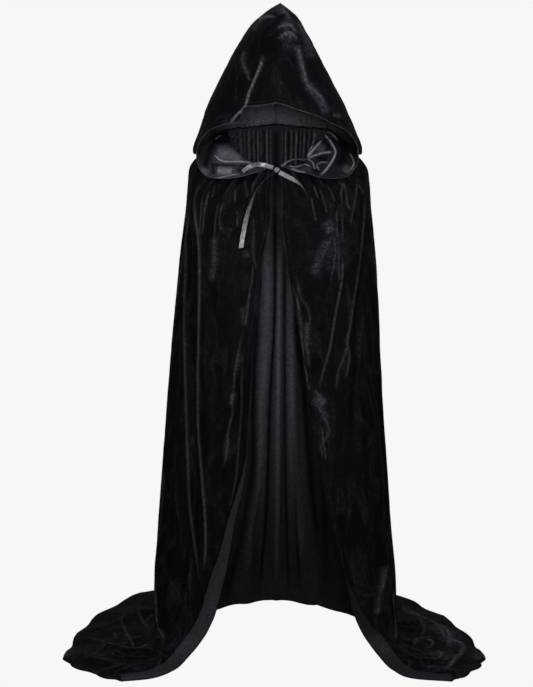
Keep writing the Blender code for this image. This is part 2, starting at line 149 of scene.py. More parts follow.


# Single creases: rise, half width, shine, and (x, height) points.
# Returns how far they lift the cloth and how bright a highlight is painted on their pressed pile.
def creaseLift(across, heights, creases):
    shape = creaseShape
    lift, shine = np.zeros(across.shape), np.zeros(across.shape)
    for rise, half, gloss, path in creases:
        near, away, along = nearPath(across, heights, path, shape["reach"] * half)
        fade = ease(along, 0, shape["start"]) * (1 - ease(along, shape["end"], 1))
        narrow = np.exp(-((away / half) ** 2))
        wide = np.exp(-((away / (shape["skirt"] * half)) ** 2))
        lift[near] += rise * (narrow - shape["skirtDepth"] * wide) * fade
        glow = gloss * np.exp(-((away / (shape["shine"] * half)) ** 2)) * fade
        shine[near] = np.maximum(shine[near], glow)
    return lift, shine


# Soft marks: amount, half width, and (x, height) points.
def markShare(across, heights, marks):
    share = np.zeros(across.shape)
    for amount, half, path in marks:
        near, away, along = nearPath(across, heights, path, markShape["reach"] * half)
        fade = ease(along, *markShape["start"]) * (1 - ease(along, *markShape["end"]))
        share[near] = np.maximum(share[near], amount * np.exp(-((away / half) ** 2)) * fade)
    return share


def linear(code):
    values = [int(code[k : k + 2], 16) / 255 for k in (1, 3, 5)]
    return [v / 12.92 if v <= 0.04045 else ((v + 0.055) / 1.055) ** 2.4 for v in values] + [1]


# what goes into a node: values, or links as (node, output); _6 is the socket with number 6
def feed(tree, node, inputs):
    for name, value in inputs.items():
        socket = node.inputs[int(name[1:])] if name[1:].isdigit() else node.inputs[name.replace("_", " ")]
        if isinstance(value, tuple) and isinstance(value[0], bpy.types.Node):
            tree.links.new(value[0].outputs[value[1]], socket)
        else:
            socket.default_value = value


def addNode(tree, kind, settings=None, **inputs):
    node = tree.nodes.new("ShaderNode" + kind)
    for name, value in (settings or {}).items():
        setattr(node, name, value)
    feed(tree, node, inputs)
    return node


def newMaterial(name, values):
    material = bpy.data.materials.new(name)
    material.use_nodes = True
    shader = material.node_tree.nodes["Principled BSDF"]
    feed(material.node_tree, shader, values)
    return material, material.node_tree, shader


colourMix, numberMix = {"data_type": "RGBA"}, {"data_type": "FLOAT"}
times, greater, timesPlus = {"operation": "MULTIPLY"}, {"operation": "MAXIMUM"}, {"operation": "MULTIPLY_ADD"}

velvet = {
    "deep": "#040406", "brushedSheen": "#3d3f47", "pressedPileSheen": "#6b6d77", "sheenTint": "#bec3dc",
    "patchLength": 0.050, "smearLength": 0.0075, "pileLength": 0.0035,
    "fall": 0.35,  # patches are about 1 / 0.35 times as long down the cloth as round it
    "roughness": (0.40, 0.62), "specular": 0.026, "sheen": 0.007, "sheenRoughness": 0.35,
    "bump": 0.0044, "bumpStrength": 0.5, "pileInBump": 0.25,
}


# Crushed polyester velvet: the pile is pressed flat in changing directions while hot and damp. The
# eye sees near black where it stands towards it, and grey smears and bright crests where it lies over:
# both are painted, the smears as sheen and the crests as highlights.
def crushedVelvet():
    look = velvet
    material, tree, shader = newMaterial("crushedPolyesterVelvet", {
        "Specular IOR Level": look["specular"], "Sheen Weight": look["sheen"],
        "Sheen Roughness": look["sheenRoughness"], "Sheen Tint": linear(look["sheenTint"]),
    })
    place = addNode(tree, "TexCoord")
    stretched = addNode(tree, "Mapping", Vector=(place, "Object"), Scale=(1, 1, look["fall"]))
    patches = addNode(
        tree, "TexNoise", Vector=(stretched, 0), Scale=1 / look["patchLength"], Detail=4.0,
        Roughness=0.6, Distortion=1.6,
    )
    smears = addNode(
        tree, "TexNoise", Vector=(place, "Object"), Scale=1 / look["smearLength"], Detail=5.0,
        Roughness=0.65, Distortion=1.4,
    )
    # the pile is about 0.3 mm, too fine to show here, so it is drawn about twelve times as coarse
    pile = addNode(tree, "TexNoise", Vector=(place, "Object"), Scale=1 / look["pileLength"], Detail=3.0)
    # painted highlights on crests, sharp bends and the folded front edges, in a pale grey
    crestHighlight = addNode(tree, "Attribute", {"attribute_name": "crestHighlight"})
    # painted sheen on patches where the pile is brushed over
    brushedSheen = addNode(tree, "Attribute", {"attribute_name": "brushedSheen"})
    # the crush pattern is the cloth's own, and its grey is painted sheen
    patchySheen = addNode(
        tree, "MapRange", Value=(patches, "Fac"), From_Min=0.48, From_Max=0.72, To_Min=0.0, To_Max=0.24,
    )
    smeared = addNode(
        tree, "MapRange", Value=(smears, "Fac"), From_Min=0.42, From_Max=0.66, To_Min=0.12, To_Max=1.0,
    )
    sheenOver = addNode(tree, "Math", greater, _0=(patchySheen, "Result"), _1=(brushedSheen, "Fac"))
    sheenShare = addNode(tree, "Math", times, _0=(sheenOver, 0), _1=(smeared, "Result"))
    grey = addNode(
        tree, "Mix", colourMix, _0=(sheenShare, 0), _6=linear(look["deep"]), _7=linear(look["brushedSheen"]),
    )
    # crests are pressed nearly all along, so their painted highlight breaks up less than the patches of
    # painted sheen do
    broken = addNode(
        tree, "MapRange", Value=(smears, "Fac"), From_Min=0.38, From_Max=0.62, To_Min=0.25, To_Max=1.0,
    )
    highlightShare = addNode(tree, "Math", times, _0=(crestHighlight, "Fac"), _1=(broken, "Result"))
    colour = addNode(tree, "Mix", colourMix, _0=(highlightShare, 0), _6=(grey, 2), _7=linear(look["pressedPileSheen"]))
    smoothest, roughest = look["roughness"]
    gloss = addNode(
        tree, "MapRange", Value=(smears, "Fac"), From_Min=0.3, From_Max=0.75, To_Min=roughest,
        To_Max=smoothest,
    )
    heights = addNode(tree, "Math", timesPlus, _0=(pile, "Fac"), _1=look["pileInBump"], _2=(smears, "Fac"))
    bumps = addNode(
        tree, "Bump", Strength=look["bumpStrength"], Distance=look["bump"], Height=(heights, 0),
    )
    feed(tree, shader, {
        "Base Color": (colour, 2), "Roughness": (gloss, "Result"), "Normal": (bumps, "Normal"),
    })
    return material


velvetBack = {
    "dark": "#28292e", "light": "#43444c", "crestHighlight": "#83858e", "shadow": "#030304",
    "sheenTint": "#bec3dc", "knit": 0.0016, "cloud": 0.009,
    "roughness": (0.42, 0.58), "specular": 0.03, "sheen": 0.002, "sheenRoughness": 0.4,
    "bump": 0.0016, "bumpStrength": 0.4, "knitInBump": 0.3,
}


# The knitted back of the same velvet: no pile, so the eye sees a cloudy dark grey with a faint grain
# of knit, which hardly shines. Painted highlights and painted shade come from the mesh.
def velvetInside():
    look = velvetBack
    material, tree, shader = newMaterial("knittedVelvetBack", {
        "Specular IOR Level": look["specular"], "Sheen Weight": look["sheen"],
        "Sheen Roughness": look["sheenRoughness"], "Sheen Tint": linear(look["sheenTint"]),
    })
    place = addNode(tree, "TexCoord")
    clouds = addNode(
        tree, "TexNoise", Vector=(place, "Object"), Scale=1 / look["cloud"], Detail=5.0,
        Roughness=0.7, Distortion=0.8,
    )
    # knit stitches of 0.8 mm, drawn twice as large so that they show
    knit = addNode(tree, "TexNoise", Vector=(place, "Object"), Scale=1 / look["knit"], Detail=2.0)
    # painted highlights on ridges and edges, and painted shade, from the mesh
    crestHighlight = addNode(tree, "Attribute", {"attribute_name": "crestHighlight"})
    shadow = addNode(tree, "Attribute", {"attribute_name": "shadow"})
    cloudy = addNode(
        tree, "MapRange", Value=(clouds, "Fac"), From_Min=0.3, From_Max=0.7, To_Min=0.0, To_Max=1.0,
    )
    grey = addNode(
        tree, "Mix", colourMix, _0=(cloudy, "Result"), _6=linear(look["dark"]), _7=linear(look["light"]),
    )
    shaded = addNode(
        tree, "Mix", colourMix, _0=(shadow, "Fac"), _6=(grey, 2), _7=linear(look["shadow"]),
    )
    shining = addNode(
        tree, "MapRange", Value=(clouds, "Fac"), From_Min=0.35, From_Max=0.62, To_Min=0.5, To_Max=1.0,
    )
    highlightShare = addNode(tree, "Math", times, _0=(crestHighlight, "Fac"), _1=(shining, "Result"))
    colour = addNode(tree, "Mix", colourMix, _0=(highlightShare, 0), _6=(shaded, 2), _7=linear(look["crestHighlight"]))
    smoothest, roughest = look["roughness"]
    smooth = addNode(
        tree, "MapRange", Value=(clouds, "Fac"), From_Min=0.3, From_Max=0.7, To_Min=roughest,
        To_Max=smoothest,
    )
    # deep in the shade nothing shines
    gloss = addNode(tree, "Mix", numberMix, _0=(shadow, "Fac"), _2=(smooth, "Result"), _3=1.0)
    heights = addNode(tree, "Math", timesPlus, _0=(knit, "Fac"), _1=look["knitInBump"], _2=(clouds, "Fac"))
    bumps = addNode(
        tree, "Bump", Strength=look["bumpStrength"], Distance=look["bump"], Height=(heights, 0),
    )
    feed(tree, shader, {"Base Color": (colour, 2), "Roughness": (gloss, 0), "Normal": (bumps, "Normal")})
    return material


satin = {
    "away": "#08080a", "shadow": "#3a3b41", "light": "#7c7e87",
    "thread": 0.0009, "creasesPerMetre": 110.0,
    "roughness": (0.2, 0.34), "specular": 0.5, "sheen": 0.02,
    "bump": 0.0012, "bumpStrength": 0.35, "threadInBump": 0.2,
}


# Woven polyester satin ribbon: long floating threads give it a gloss that its creases break up.
def satinRibbon():
    look = satin
    material, tree, shader = newMaterial("polyesterSatinRibbon", {
        "Specular IOR Level": look["specular"], "Sheen Weight": look["sheen"],
    })
    place = addNode(tree, "TexCoord")
    # the real threads are finer than this, and are drawn coarser so that they show
    threads = addNode(tree, "TexNoise", Vector=(place, "Object"), Scale=1 / look["thread"], Detail=2.0)
    creases = addNode(
        tree, "TexNoise", Vector=(place, "Object"), Scale=look["creasesPerMetre"], Detail=4.0,
        Distortion=0.6,
    )
    # painted light and shade: the creases are painted lighter and darker
    shade = addNode(
        tree, "MapRange", Value=(creases, "Fac"), From_Min=0.3, From_Max=0.7, To_Min=0.0, To_Max=1.0,
    )
    colour = addNode(
        tree, "Mix", colourMix, _0=(shade, "Result"), _6=linear(look["shadow"]), _7=linear(look["light"]),
    )
    # painted shade: where the ribbon is turned from the light it is painted nearly black, which no lamp here
    # would give
    away = addNode(tree, "Attribute", {"attribute_name": "shadow"})
    turned = addNode(tree, "Mix", colourMix, _0=(away, "Fac"), _6=(colour, 2), _7=linear(look["away"]))
    smoothest, roughest = look["roughness"]
    smooth = addNode(
        tree, "MapRange", Value=(creases, "Fac"), From_Min=0.3, From_Max=0.7, To_Min=roughest,
        To_Max=smoothest,
    )
    gloss = addNode(tree, "Mix", numberMix, _0=(away, "Fac"), _2=(smooth, "Result"), _3=1.0)
    heights = addNode(
        tree, "Math", timesPlus, _0=(threads, "Fac"), _1=look["threadInBump"], _2=(creases, "Fac"),
    )
    bumps = addNode(
        tree, "Bump", Strength=look["bumpStrength"], Distance=look["bump"], Height=(heights, 0),
    )
    feed(tree, shader, {"Base Color": (turned, 2), "Roughness": (gloss, 0), "Normal": (bumps, "Normal")})
    return material


thread = {"dark": "#0c0c0e", "light": "#26272b", "roughness": 0.6, "twistsPerMetre": 2500.0}


# Spun polyester sewing thread: matt black, mottled a little by its twist.
def sewingThread():
    look = thread
    material, tree, shader = newMaterial("spunPolyesterThread", {"Roughness": look["roughness"]})
    place = addNode(tree, "TexCoord")
    twist = addNode(
        tree, "TexNoise", Vector=(place, "Object"), Scale=look["twistsPerMetre"], Detail=1.0,
    )
    colour = addNode(
        tree, "Mix", colourMix, _0=(twist, "Fac"), _6=linear(look["dark"]), _7=linear(look["light"]),
    )
    feed(tree, shader, {"Base Color": (colour, 2)})
    return material


clothWall = {"thick": 0.0016, "seamTurn": 0.0011, "seamSnap": 0.0007, "floorGap": 0.0004}
hoodLean = [(1.42, 0.0), (1.60, -0.006), (1.70, -0.004), (1.79, 0.009)]  # height, sideways shift
# painted highlight on sharp bends, as if their pile shone
sharpBend = {
    "shines": (35.0, 150.0),  # bends, in 1/m, at which the pile starts to shine and shines fully
    "leastReach": 0.0015,  # shorter steps of the grid count as this long
    "offSeam": (0.004, 0.012),  # from the middle, where the shine starts and is full
}


# how far the hood stands to the right of the middle at these heights
def leanAt(heights):
    table = np.array(hoodLean)
    flat = np.clip(heights.ravel(), table[0, 0], table[-1, 0])
    return curveThrough(table[:, 0], table[:, 1:], flat).reshape(heights.shape)


# from the right half's shape to the place in the cloak
def placed(grid, side):
    moved = grid.copy()
    across = np.where(moved[..., 0] < clothWall["seamSnap"], 0, moved[..., 0])
    moved[..., 0] = across * signOf[side] + leanAt(moved[..., 2])
    return moved


# How sharply the cloth bends outward at each point, over one grid step each way.
def bendOf(points):
    normals = gridNormals(points)
    bend = np.zeros(points.shape[:2])
    for axis in (0, 1):
        p, n = np.moveaxis(points, axis, 0), np.moveaxis(normals, axis, 0)
        ahead, behind = p[2:] - p[1:-1], p[1:-1] - p[:-2]
        reach = (np.linalg.norm(ahead, axis=-1) + np.linalg.norm(behind, axis=-1)) / 2
        reach = np.maximum(reach, sharpBend["leastReach"])
        part = np.zeros(p.shape[:2])
        part[1:-1] = -np.sum((ahead - behind) * n[1:-1], axis=-1) / reach**2
        bend += np.moveaxis(part, 0, axis)
    return bend


# the corner numbers of each face of a grid
def gridCorners(rows, columns):
    number = np.arange(rows * columns).reshape(rows, columns)
    corners = [number[:-1, :-1], number[1:, :-1], number[1:, 1:], number[:-1, 1:]]
    return np.stack(corners, axis=-1).reshape(-1, 4)


# the faces of a closed wall round one grid: the outer side, the inner side and the four rims
def wallFaces(rows, columns):
    outer = gridCorners(rows, columns)
    inner = outer[:, ::-1] + rows * columns
    number = np.arange(rows * columns).reshape(rows, columns)
    rims = []
    for near in (number[:, 0], number[-1], number[::-1, -1], number[0, ::-1]):
        far = near + rows * columns
        rims.append(np.stack([near[1:], near[:-1], far[:-1], far[1:]], axis=-1))
    return outer, inner, rims


# Where the bake map has the two sides, next to each other, and the four rims, in a row under them.
bakeMap = {
    "up": (0.03, 0.99), "lefts": (0.01, 0.51), "wide": 0.48,
    "rim": (0.01, 0.235), "rimStep": 0.245, "rimUp": (0.004, 0.016),
}


# a place in the unit square for each face corner
def bakePlaces(rows, columns, rims):
    corners = gridCorners(rows, columns)
    places = []
    for left, way in zip(bakeMap["lefts"], (1, -1)):
        over = np.linspace(left, left + bakeMap["wide"], columns)
        u, v = np.meshgrid(over, np.linspace(*bakeMap["up"], rows))
        turned = corners[:, ::way]
        places.append(np.stack([u.ravel()[turned], v.ravel()[turned]], axis=-1))
    low, high = bakeMap["rimUp"]
    for k, rim in enumerate(rims):
        start, end = (edge + bakeMap["rimStep"] * k for edge in bakeMap["rim"])
        steps = np.linspace(start, end, len(rim) + 1)
        places.append(np.stack([
            np.stack([steps[1:], steps[:-1], steps[:-1], steps[1:]], axis=-1),
            np.tile([low, low, high, high], (len(rim), 1)),
        ], axis=-1))
    return np.concatenate(places)


# A closed wall of cloth round a grid of points, velvet outside and its knitted back inside. Tones are
# the painted crest highlights, painted sheen patches and painted shadows of the two faces, each an array for
# every grid point.
def clothPiece(name, grid, side, tones, looks):
    rows, columns = grid.shape[:2]
    half = gridNormals(grid) * clothWall["thick"] / 2
    points = np.concatenate([placed(grid + half * way, side).reshape(-1, 3) for way in (1, -1)])
    points[:, 2] -= neckHeight
    outer, inner, rims = wallFaces(rows, columns)
    faces = np.concatenate([outer, inner] + rims)
    corners = bakePlaces(rows, columns, rims)
    if side == "Left":
        faces, corners = faces[:, ::-1], corners[:, ::-1]
    mesh = bpy.data.meshes.new(name)
    mesh.from_pydata(points.tolist(), [], faces.tolist())
    sides = np.zeros(len(faces), dtype=np.int32)
    sides[len(outer) : len(outer) + len(inner)] = 1
    mesh.polygons.foreach_set("material_index", sides)
    mesh.shade_smooth()
    for kind, (out, back) in tones.items():
        values = np.concatenate([out.ravel(), back.ravel()])
        mesh.attributes.new(kind, "FLOAT", "POINT").data.foreach_set("value", values)
    mesh.uv_layers.new(name="OFBake").data.foreach_set("uv", corners.ravel())
    mesh.materials.append(looks["velvet"])
    mesh.materials.append(looks["back"])
    return addPiece(name, mesh)


# Levels round the wearer, down from the neck seam: the centre back, the widest point of the side and
# the front edge. Left and right are the viewer's.
levelNames = (
    "down backY backZ sideLeft sideRight sideY sideZ "
    "edgeLeft edgeRight edgeY edgeZ roundLeft roundRight roundFront turnLeft turnRight"
).split()
bodyLevels = [
    (0.00, 0.100, 1.444, 0.136, 0.138, 0.030, 1.437, 0.014, 0.007, -0.122, 1.334, 2.0, 2.0, 2.0, 0, 0),
    (0.03, 0.113, 1.418, 0.164, 0.167, 0.027, 1.412, 0.014, 0.007, -0.129, 1.308, 2.1, 2.1, 2.1, 0, 0),
    (0.07, 0.127, 1.385, 0.200, 0.203, 0.022, 1.380, 0.015, 0.007, -0.134, 1.270, 2.2, 2.2, 2.2, 0, 0),
    (0.12, 0.140, 1.340, 0.240, 0.246, 0.012, 1.337, 0.016, 0.008, -0.139, 1.222, 2.3, 2.3, 2.3, 0, 0),
    (0.16, 0.148, 1.300, 0.247, 0.254, 0.008, 1.298, 0.018, 0.010, -0.143, 1.185, 2.4, 2.4, 2.4, 0, 0),
    (0.25, 0.155, 1.215, 0.256, 0.259, 0.002, 1.213, 0.036, 0.021, -0.151, 1.105, 2.4, 2.4, 2.4, 0, 0),
    (0.37, 0.163, 1.095, 0.266, 0.269, -0.003, 1.095, 0.045, 0.041, -0.158, 0.995, 2.3, 2.3, 2.4, 0, 0),
    (0.55, 0.174, 0.920, 0.284, 0.279, -0.010, 0.920, 0.066, 0.065, -0.170, 0.840, 2.1, 2.1, 2.4, 0.12, 0),
    (0.75, 0.187, 0.720, 0.300, 0.287, -0.020, 0.720, 0.079, 0.092, -0.181, 0.670, 2.0, 2.0, 2.4, 0.36, 0),
    (0.93, 0.199, 0.540, 0.315, 0.299, -0.035, 0.540, 0.090, 0.118, -0.190, 0.500, 1.8, 1.8, 2.4, 0.58, 0.06),
    (1.08, 0.208, 0.390, 0.325, 0.310, -0.048, 0.390, 0.118, 0.147, -0.196, 0.372, 1.7, 1.7, 2.3, 0.66, 0.24),
    (1.17, 0.213, 0.300, 0.331, 0.317, -0.057, 0.300, 0.131, 0.169, -0.199, 0.290, 1.6, 1.6, 2.3, 0.74, 0.42),
    (1.25, 0.218, 0.225, 0.337, 0.324, -0.065, 0.225, 0.147, 0.187, -0.202, 0.215, 1.6, 1.6, 2.2, 0.88, 0.56),
    (1.38, 0.226, 0.100, 0.342, 0.332, -0.080, 0.100, 0.181, 0.220, -0.206, 0.095, 1.6, 1.6, 2.2, 1, 0.78),
    (1.44, 0.228, 0.042, 0.347, 0.340, -0.090, 0.044, 0.210, 0.248, -0.215, 0.045, 1.5, 1.5, 2.1, 1, 0.92),
    (1.49, 0.234, 0.008, 0.367, 0.358, -0.100, 0.010, 0.239, 0.274, -0.243, 0.014, 1.4, 1.35, 2.0, 1, 1),
    (1.56, 0.300, 0.003, 0.432, 0.420, -0.125, 0.003, 0.272, 0.303, -0.312, 0.003, 1.8, 1.7, 1.8, 1, 1),
    (1.65, 0.385, 0.003, 0.508, 0.488, -0.170, 0.003, 0.324, 0.346, -0.368, 0.003, 2.1, 1.9, 1.5, 1, 1),
    (1.73, 0.465, 0.003, 0.581, 0.563, -0.248, 0.003, 0.402, 0.446, -0.388, 0.003, 2.4, 2.0, 1.3, 1, 1),
]
body = {
    "curvePoints": 900,  # along each half of a level, before they are spaced evenly
    "backShare": (0.50, 0.64),  # part of the width behind the side point, at the neck and the hem
    "strip": {
        "width": 0.052, "radius": 0.0055, "neckShare": 0.12, "fullAt": 0.12,
        "hemTaper": 0.35, "taperFrom": 1.58,
    },
    "gathers": {
        "count": 20, "depth": 0.0022, "from": 0.006, "full": 0.022, "fades": 0.04, "gone": 0.14,
        "uneven": ((0.35, 3.1), (0.25, 7.3)),  # how much deeper and shallower, and how often
    },
    "folds": {"count": 8.5, "lean": 0.6, "uneven": 0.22, "driftWaves": 1.7, "driftStart": 0.1},
    "foldDepths": [  # down, depth behind, depth in front
        (0.00, 0.0000, 0.0000), (0.08, 0.0010, 0.0005), (0.25, 0.0040, 0.0020),
        (0.60, 0.0085, 0.0035), (1.10, 0.0130, 0.0060), (1.33, 0.0115, 0.0070),
        (1.44, 0.0030, 0.0040), (1.52, 0.0020, 0.0030), (1.64, 0.0040, 0.0040),
        (1.73, 0.0020, 0.0020),
    ],
    "foldsInFront": (0.45, 0.75),  # across, from the depths behind to those in front
    "smoothEdge": (0.84, 0.94), "floorFrom": 1.42, "floorFull": 1.52,
    # the seam stands up behind the neck
    "neckRise": {
        "up": 0.009, "half": 0.060, "gone": 0.06, "uneven": 0.0012, "waves": 190, "behind": (0.0, 0.05),
    },
    "centreSeam": {"pull": 0.0016, "half": 0.007, "behind": (0.02, 0.05)},
    "floorRidges": {"across": 5.3, "down": 2.6}, "hemScallop": 0.004, "scallopFrom": 1.55,
    "troughsLeft": [
        {"x": (0.250, 0.222), "z": (1.27, 0.18), "half": 0.013, "depth": 0.010},
        {"x": (0.190, 0.150), "z": (1.15, 0.40), "half": 0.016, "depth": 0.006},
    ],
    "troughsRight": [
        {"x": (0.240, 0.205), "z": (1.27, 0.60), "half": 0.013, "depth": 0.007},
        {"x": (0.182, 0.104), "z": (1.20, 0.72), "half": 0.016, "depth": 0.007},
        {"x": (0.285, 0.300), "z": (0.45, 0.10), "half": 0.014, "depth": 0.008},
    ],
    "troughEnds": ((-0.08, 0.15), (0.85, 1.08)), "troughsBefore": 0.03,  # y, behind which there are none
    "rowsOf": {"neck": 28, "fall": 155, "floor": 60}, "neckTo": 0.14, "rowGaps": (0.0012, 0.004, 0.001),
    # steps round the body against places across it, finest in front and coarsest at the sides
    "columnsRound": 182, "columnsAt": ([0, 0.20, 0.36, 1], [[0], [0.18], [0.48], [1]]),
    "firstColumn": 0.0018, "columnsStrip": 12, "lastColumn": 0.98,
}

# The creases that show in front: rise, half width, shine, points as (x, height above the floor).
bodyCreases = [
    (0.0035, 0.006, 0.50, [(-0.245, 1.31), (-0.250, 1.19), (-0.253, 1.01), (-0.254, 0.89), (-0.250, 0.70),
                           (-0.245, 0.54), (-0.240, 0.41), (-0.223, 0.285), (-0.207, 0.175)]),
    (0.0035, 0.006, 0.85, [(-0.219, 1.25), (-0.222, 1.21), (-0.213, 1.125), (-0.211, 1.04), (-0.215, 0.78),
                           (-0.215, 0.63), (-0.205, 0.49), (-0.197, 0.39), (-0.197, 0.29), (-0.204, 0.235)]),
    (0.0030, 0.005, 0.60, [(-0.209, 1.290), (-0.222, 1.258), (-0.225, 1.218), (-0.215, 1.138)]),
    (0.0025, 0.005, 0.45, [(-0.202, 1.256), (-0.207, 1.208), (-0.213, 1.138)]),
    (0.0025, 0.005, 0.60, [(-0.183, 1.270), (-0.191, 1.243), (-0.199, 1.195), (-0.204, 1.149)]),
    (0.0020, 0.005, 0.35, [(-0.169, 1.290), (-0.176, 1.251)]),
    (0.0025, 0.005, 0.45, [(-0.158, 1.243), (-0.166, 1.201), (-0.169, 1.174), (-0.171, 1.115)]),
    (0.0025, 0.005, 0.50, [(-0.147, 1.243), (-0.155, 1.209), (-0.155, 1.177), (-0.141, 1.164),
                           (-0.106, 1.172)]),
    (0.0020, 0.004, 0.30, [(-0.115, 1.275), (-0.114, 1.236)]),
    (0.0020, 0.004, 0.35, [(-0.109, 1.220), (-0.108, 1.175)]),
    (0.0020, 0.004, 0.40, [(-0.089, 1.297), (-0.085, 1.276), (-0.080, 1.252)]),
    (0.0020, 0.004, 0.30, [(-0.066, 1.290), (-0.066, 1.266)]),
    (0.0025, 0.005, 0.50, [(-0.065, 1.201), (-0.065, 1.167), (-0.065, 1.100), (-0.053, 1.055)]),
    (0.0030, 0.005, 0.60, [(-0.064, 1.082), (-0.072, 1.017), (-0.081, 0.964), (-0.086, 0.903)]),
    (0.0030, 0.006, 0.50, [(-0.088, 0.926), (-0.103, 0.849), (-0.114, 0.794), (-0.120, 0.729),
                           (-0.126, 0.705), (-0.121, 0.681), (-0.134, 0.618), (-0.140, 0.546),
                           (-0.155, 0.521)]),
    (0.0030, 0.006, 0.45, [(-0.092, 0.849), (-0.096, 0.753), (-0.096, 0.685), (-0.103, 0.618),
                           (-0.107, 0.559), (-0.116, 0.476), (-0.135, 0.396)]),
    (0.0030, 0.005, 0.80, [(-0.345, 0.19), (-0.340, 0.09), (-0.338, 0.066), (-0.320, 0.05),
                           (-0.314, 0.038)]),
    (0.0035, 0.006, 0.50, [(0.242, 1.299), (0.237, 1.218), (0.230, 1.137), (0.213, 1.017),
                           (0.203, 0.959), (0.194, 0.898), (0.185, 0.869), (0.193, 0.831),
                           (0.187, 0.783), (0.178, 0.764)]),
    (0.0025, 0.005, 0.45, [(0.215, 1.299), (0.213, 1.259), (0.204, 1.222), (0.194, 1.171)]),
    (0.0020, 0.005, 0.40, [(0.217, 1.289), (0.235, 1.261)]),
    (0.0025, 0.005, 0.60, [(0.177, 1.296), (0.184, 1.270), (0.187, 1.238), (0.197, 1.214)]),
    (0.0025, 0.005, 0.65, [(0.160, 1.294), (0.175, 1.286), (0.170, 1.266), (0.173, 1.238)]),
    (0.0020, 0.004, 0.35, [(0.127, 1.289), (0.141, 1.270), (0.153, 1.238)]),
    (0.0020, 0.004, 0.30, [(0.111, 1.283), (0.127, 1.233), (0.132, 1.209)]),
    (0.0020, 0.004, 0.35, [(0.096, 1.286), (0.110, 1.246)]),
    (0.0020, 0.004, 0.40, [(0.089, 1.260), (0.096, 1.220), (0.105, 1.185)]),
    (0.0020, 0.004, 0.40, [(0.157, 1.219), (0.160, 1.139)]),
    (0.0020, 0.004, 0.45, [(0.173, 1.214), (0.175, 1.139)]),
    (0.0020, 0.004, 0.40, [(0.154, 1.153), (0.153, 1.086), (0.143, 1.035)]),
    (0.0020, 0.004, 0.40, [(0.163, 1.153), (0.165, 1.017)]),
    (0.0035, 0.006, 0.60, [(0.174, 1.118), (0.173, 1.035), (0.156, 0.943), (0.149, 0.899),
                           (0.139, 0.842), (0.126, 0.794), (0.109, 0.732)]),
    (0.0025, 0.005, 0.55, [(0.054, 1.032), (0.057, 1.008), (0.064, 0.985), (0.084, 0.950),
                           (0.088, 0.902)]),
    (0.0020, 0.004, 0.90, [(0.040, 1.025), (0.053, 0.975), (0.061, 0.935), (0.063, 0.902),
                           (0.066, 0.859), (0.080, 0.760), (0.090, 0.732)]),
    (0.0025, 0.006, 0.40, [(0.079, 0.926), (0.079, 0.859), (0.085, 0.793)]),
    (0.0025, 0.006, 0.40, [(0.197, 0.924), (0.183, 0.838), (0.163, 0.786), (0.158, 0.737)]),
    (0.0030, 0.006, 0.70, [(0.098, 0.740), (0.117, 0.716), (0.132, 0.700)]),
    (0.0030, 0.006, 0.50, [(0.104, 0.711), (0.117, 0.681), (0.138, 0.637), (0.136, 0.616),
                           (0.117, 0.583), (0.125, 0.548)]),
    (0.0025, 0.005, 0.60, [(0.118, 0.640), (0.125, 0.590), (0.131, 0.545)]),
    (0.0030, 0.007, 0.35, [(0.308, 0.25), (0.293, 0.186), (0.280, 0.15), (0.274, 0.11)]),
    (0.0030, 0.005, 0.90, [(0.326, 0.153), (0.329, 0.082), (0.329, 0.03)]),
]
# Grey mottled patches of painted sheen in front, where the pile is brushed: amount, half width, (x, height)
# points.
bodyBrushedSheen = [
    (0.80, 0.009, [(-0.171, 1.150), (-0.171, 1.085), (-0.179, 1.027)]),
    (0.50, 0.009, [(-0.085, 1.114), (-0.084, 1.090)]),
    (0.50, 0.007, [(-0.096, 0.964), (-0.090, 0.910)]),
    (0.45, 0.009, [(-0.100, 0.840), (-0.114, 0.790)]),
    (0.60, 0.008, [(-0.119, 0.730), (-0.126, 0.700)]),
    (0.50, 0.008, [(-0.134, 0.618), (-0.140, 0.546)]),
    (0.90, 0.014, [(0.130, 1.190), (0.146, 1.158)]),
    (0.70, 0.013, [(0.142, 1.146), (0.122, 1.113), (0.108, 1.083), (0.100, 1.042)]),
    (0.35, 0.024, [(0.152, 1.180), (0.150, 1.050)]),
    (0.50, 0.010, [(0.079, 0.926), (0.079, 0.859), (0.085, 0.793)]),
    (1.00, 0.014, [(0.102, 0.720), (0.125, 0.695)]),
    (0.60, 0.010, [(0.118, 0.690), (0.132, 0.655)]),
    (0.50, 0.012, [(0.300, 0.240), (0.285, 0.170), (0.276, 0.110)]),
]
# The back seen from inside: painted highlights on ridges and on thin gathers under the neck seam, painted
# shade in valleys.
innerLights = [
    (0.26, 0.011, [(-0.030, 1.22), (-0.030, 0.98), (-0.034, 0.886), (-0.039, 0.738), (-0.048, 0.587),
                   (-0.050, 0.435), (-0.070, 0.250), (-0.095, 0.080)]),
    (0.29, 0.007, [(0.011, 1.12), (0.008, 0.947), (0.005, 0.690), (0.002, 0.440), (0.002, 0.270),
                   (-0.001, 0.030)]),
    (0.33, 0.009, [(0.040, 1.05), (0.042, 0.886), (0.046, 0.643), (0.053, 0.435), (0.066, 0.273),
                   (0.075, 0.148)]),
]
gatherMark = {
    "top": 1.445, "light": 0.0021, "gap": 0.0028, "narrows": 0.96, "shorter": 0.02, "lastGap": 0.125,
}
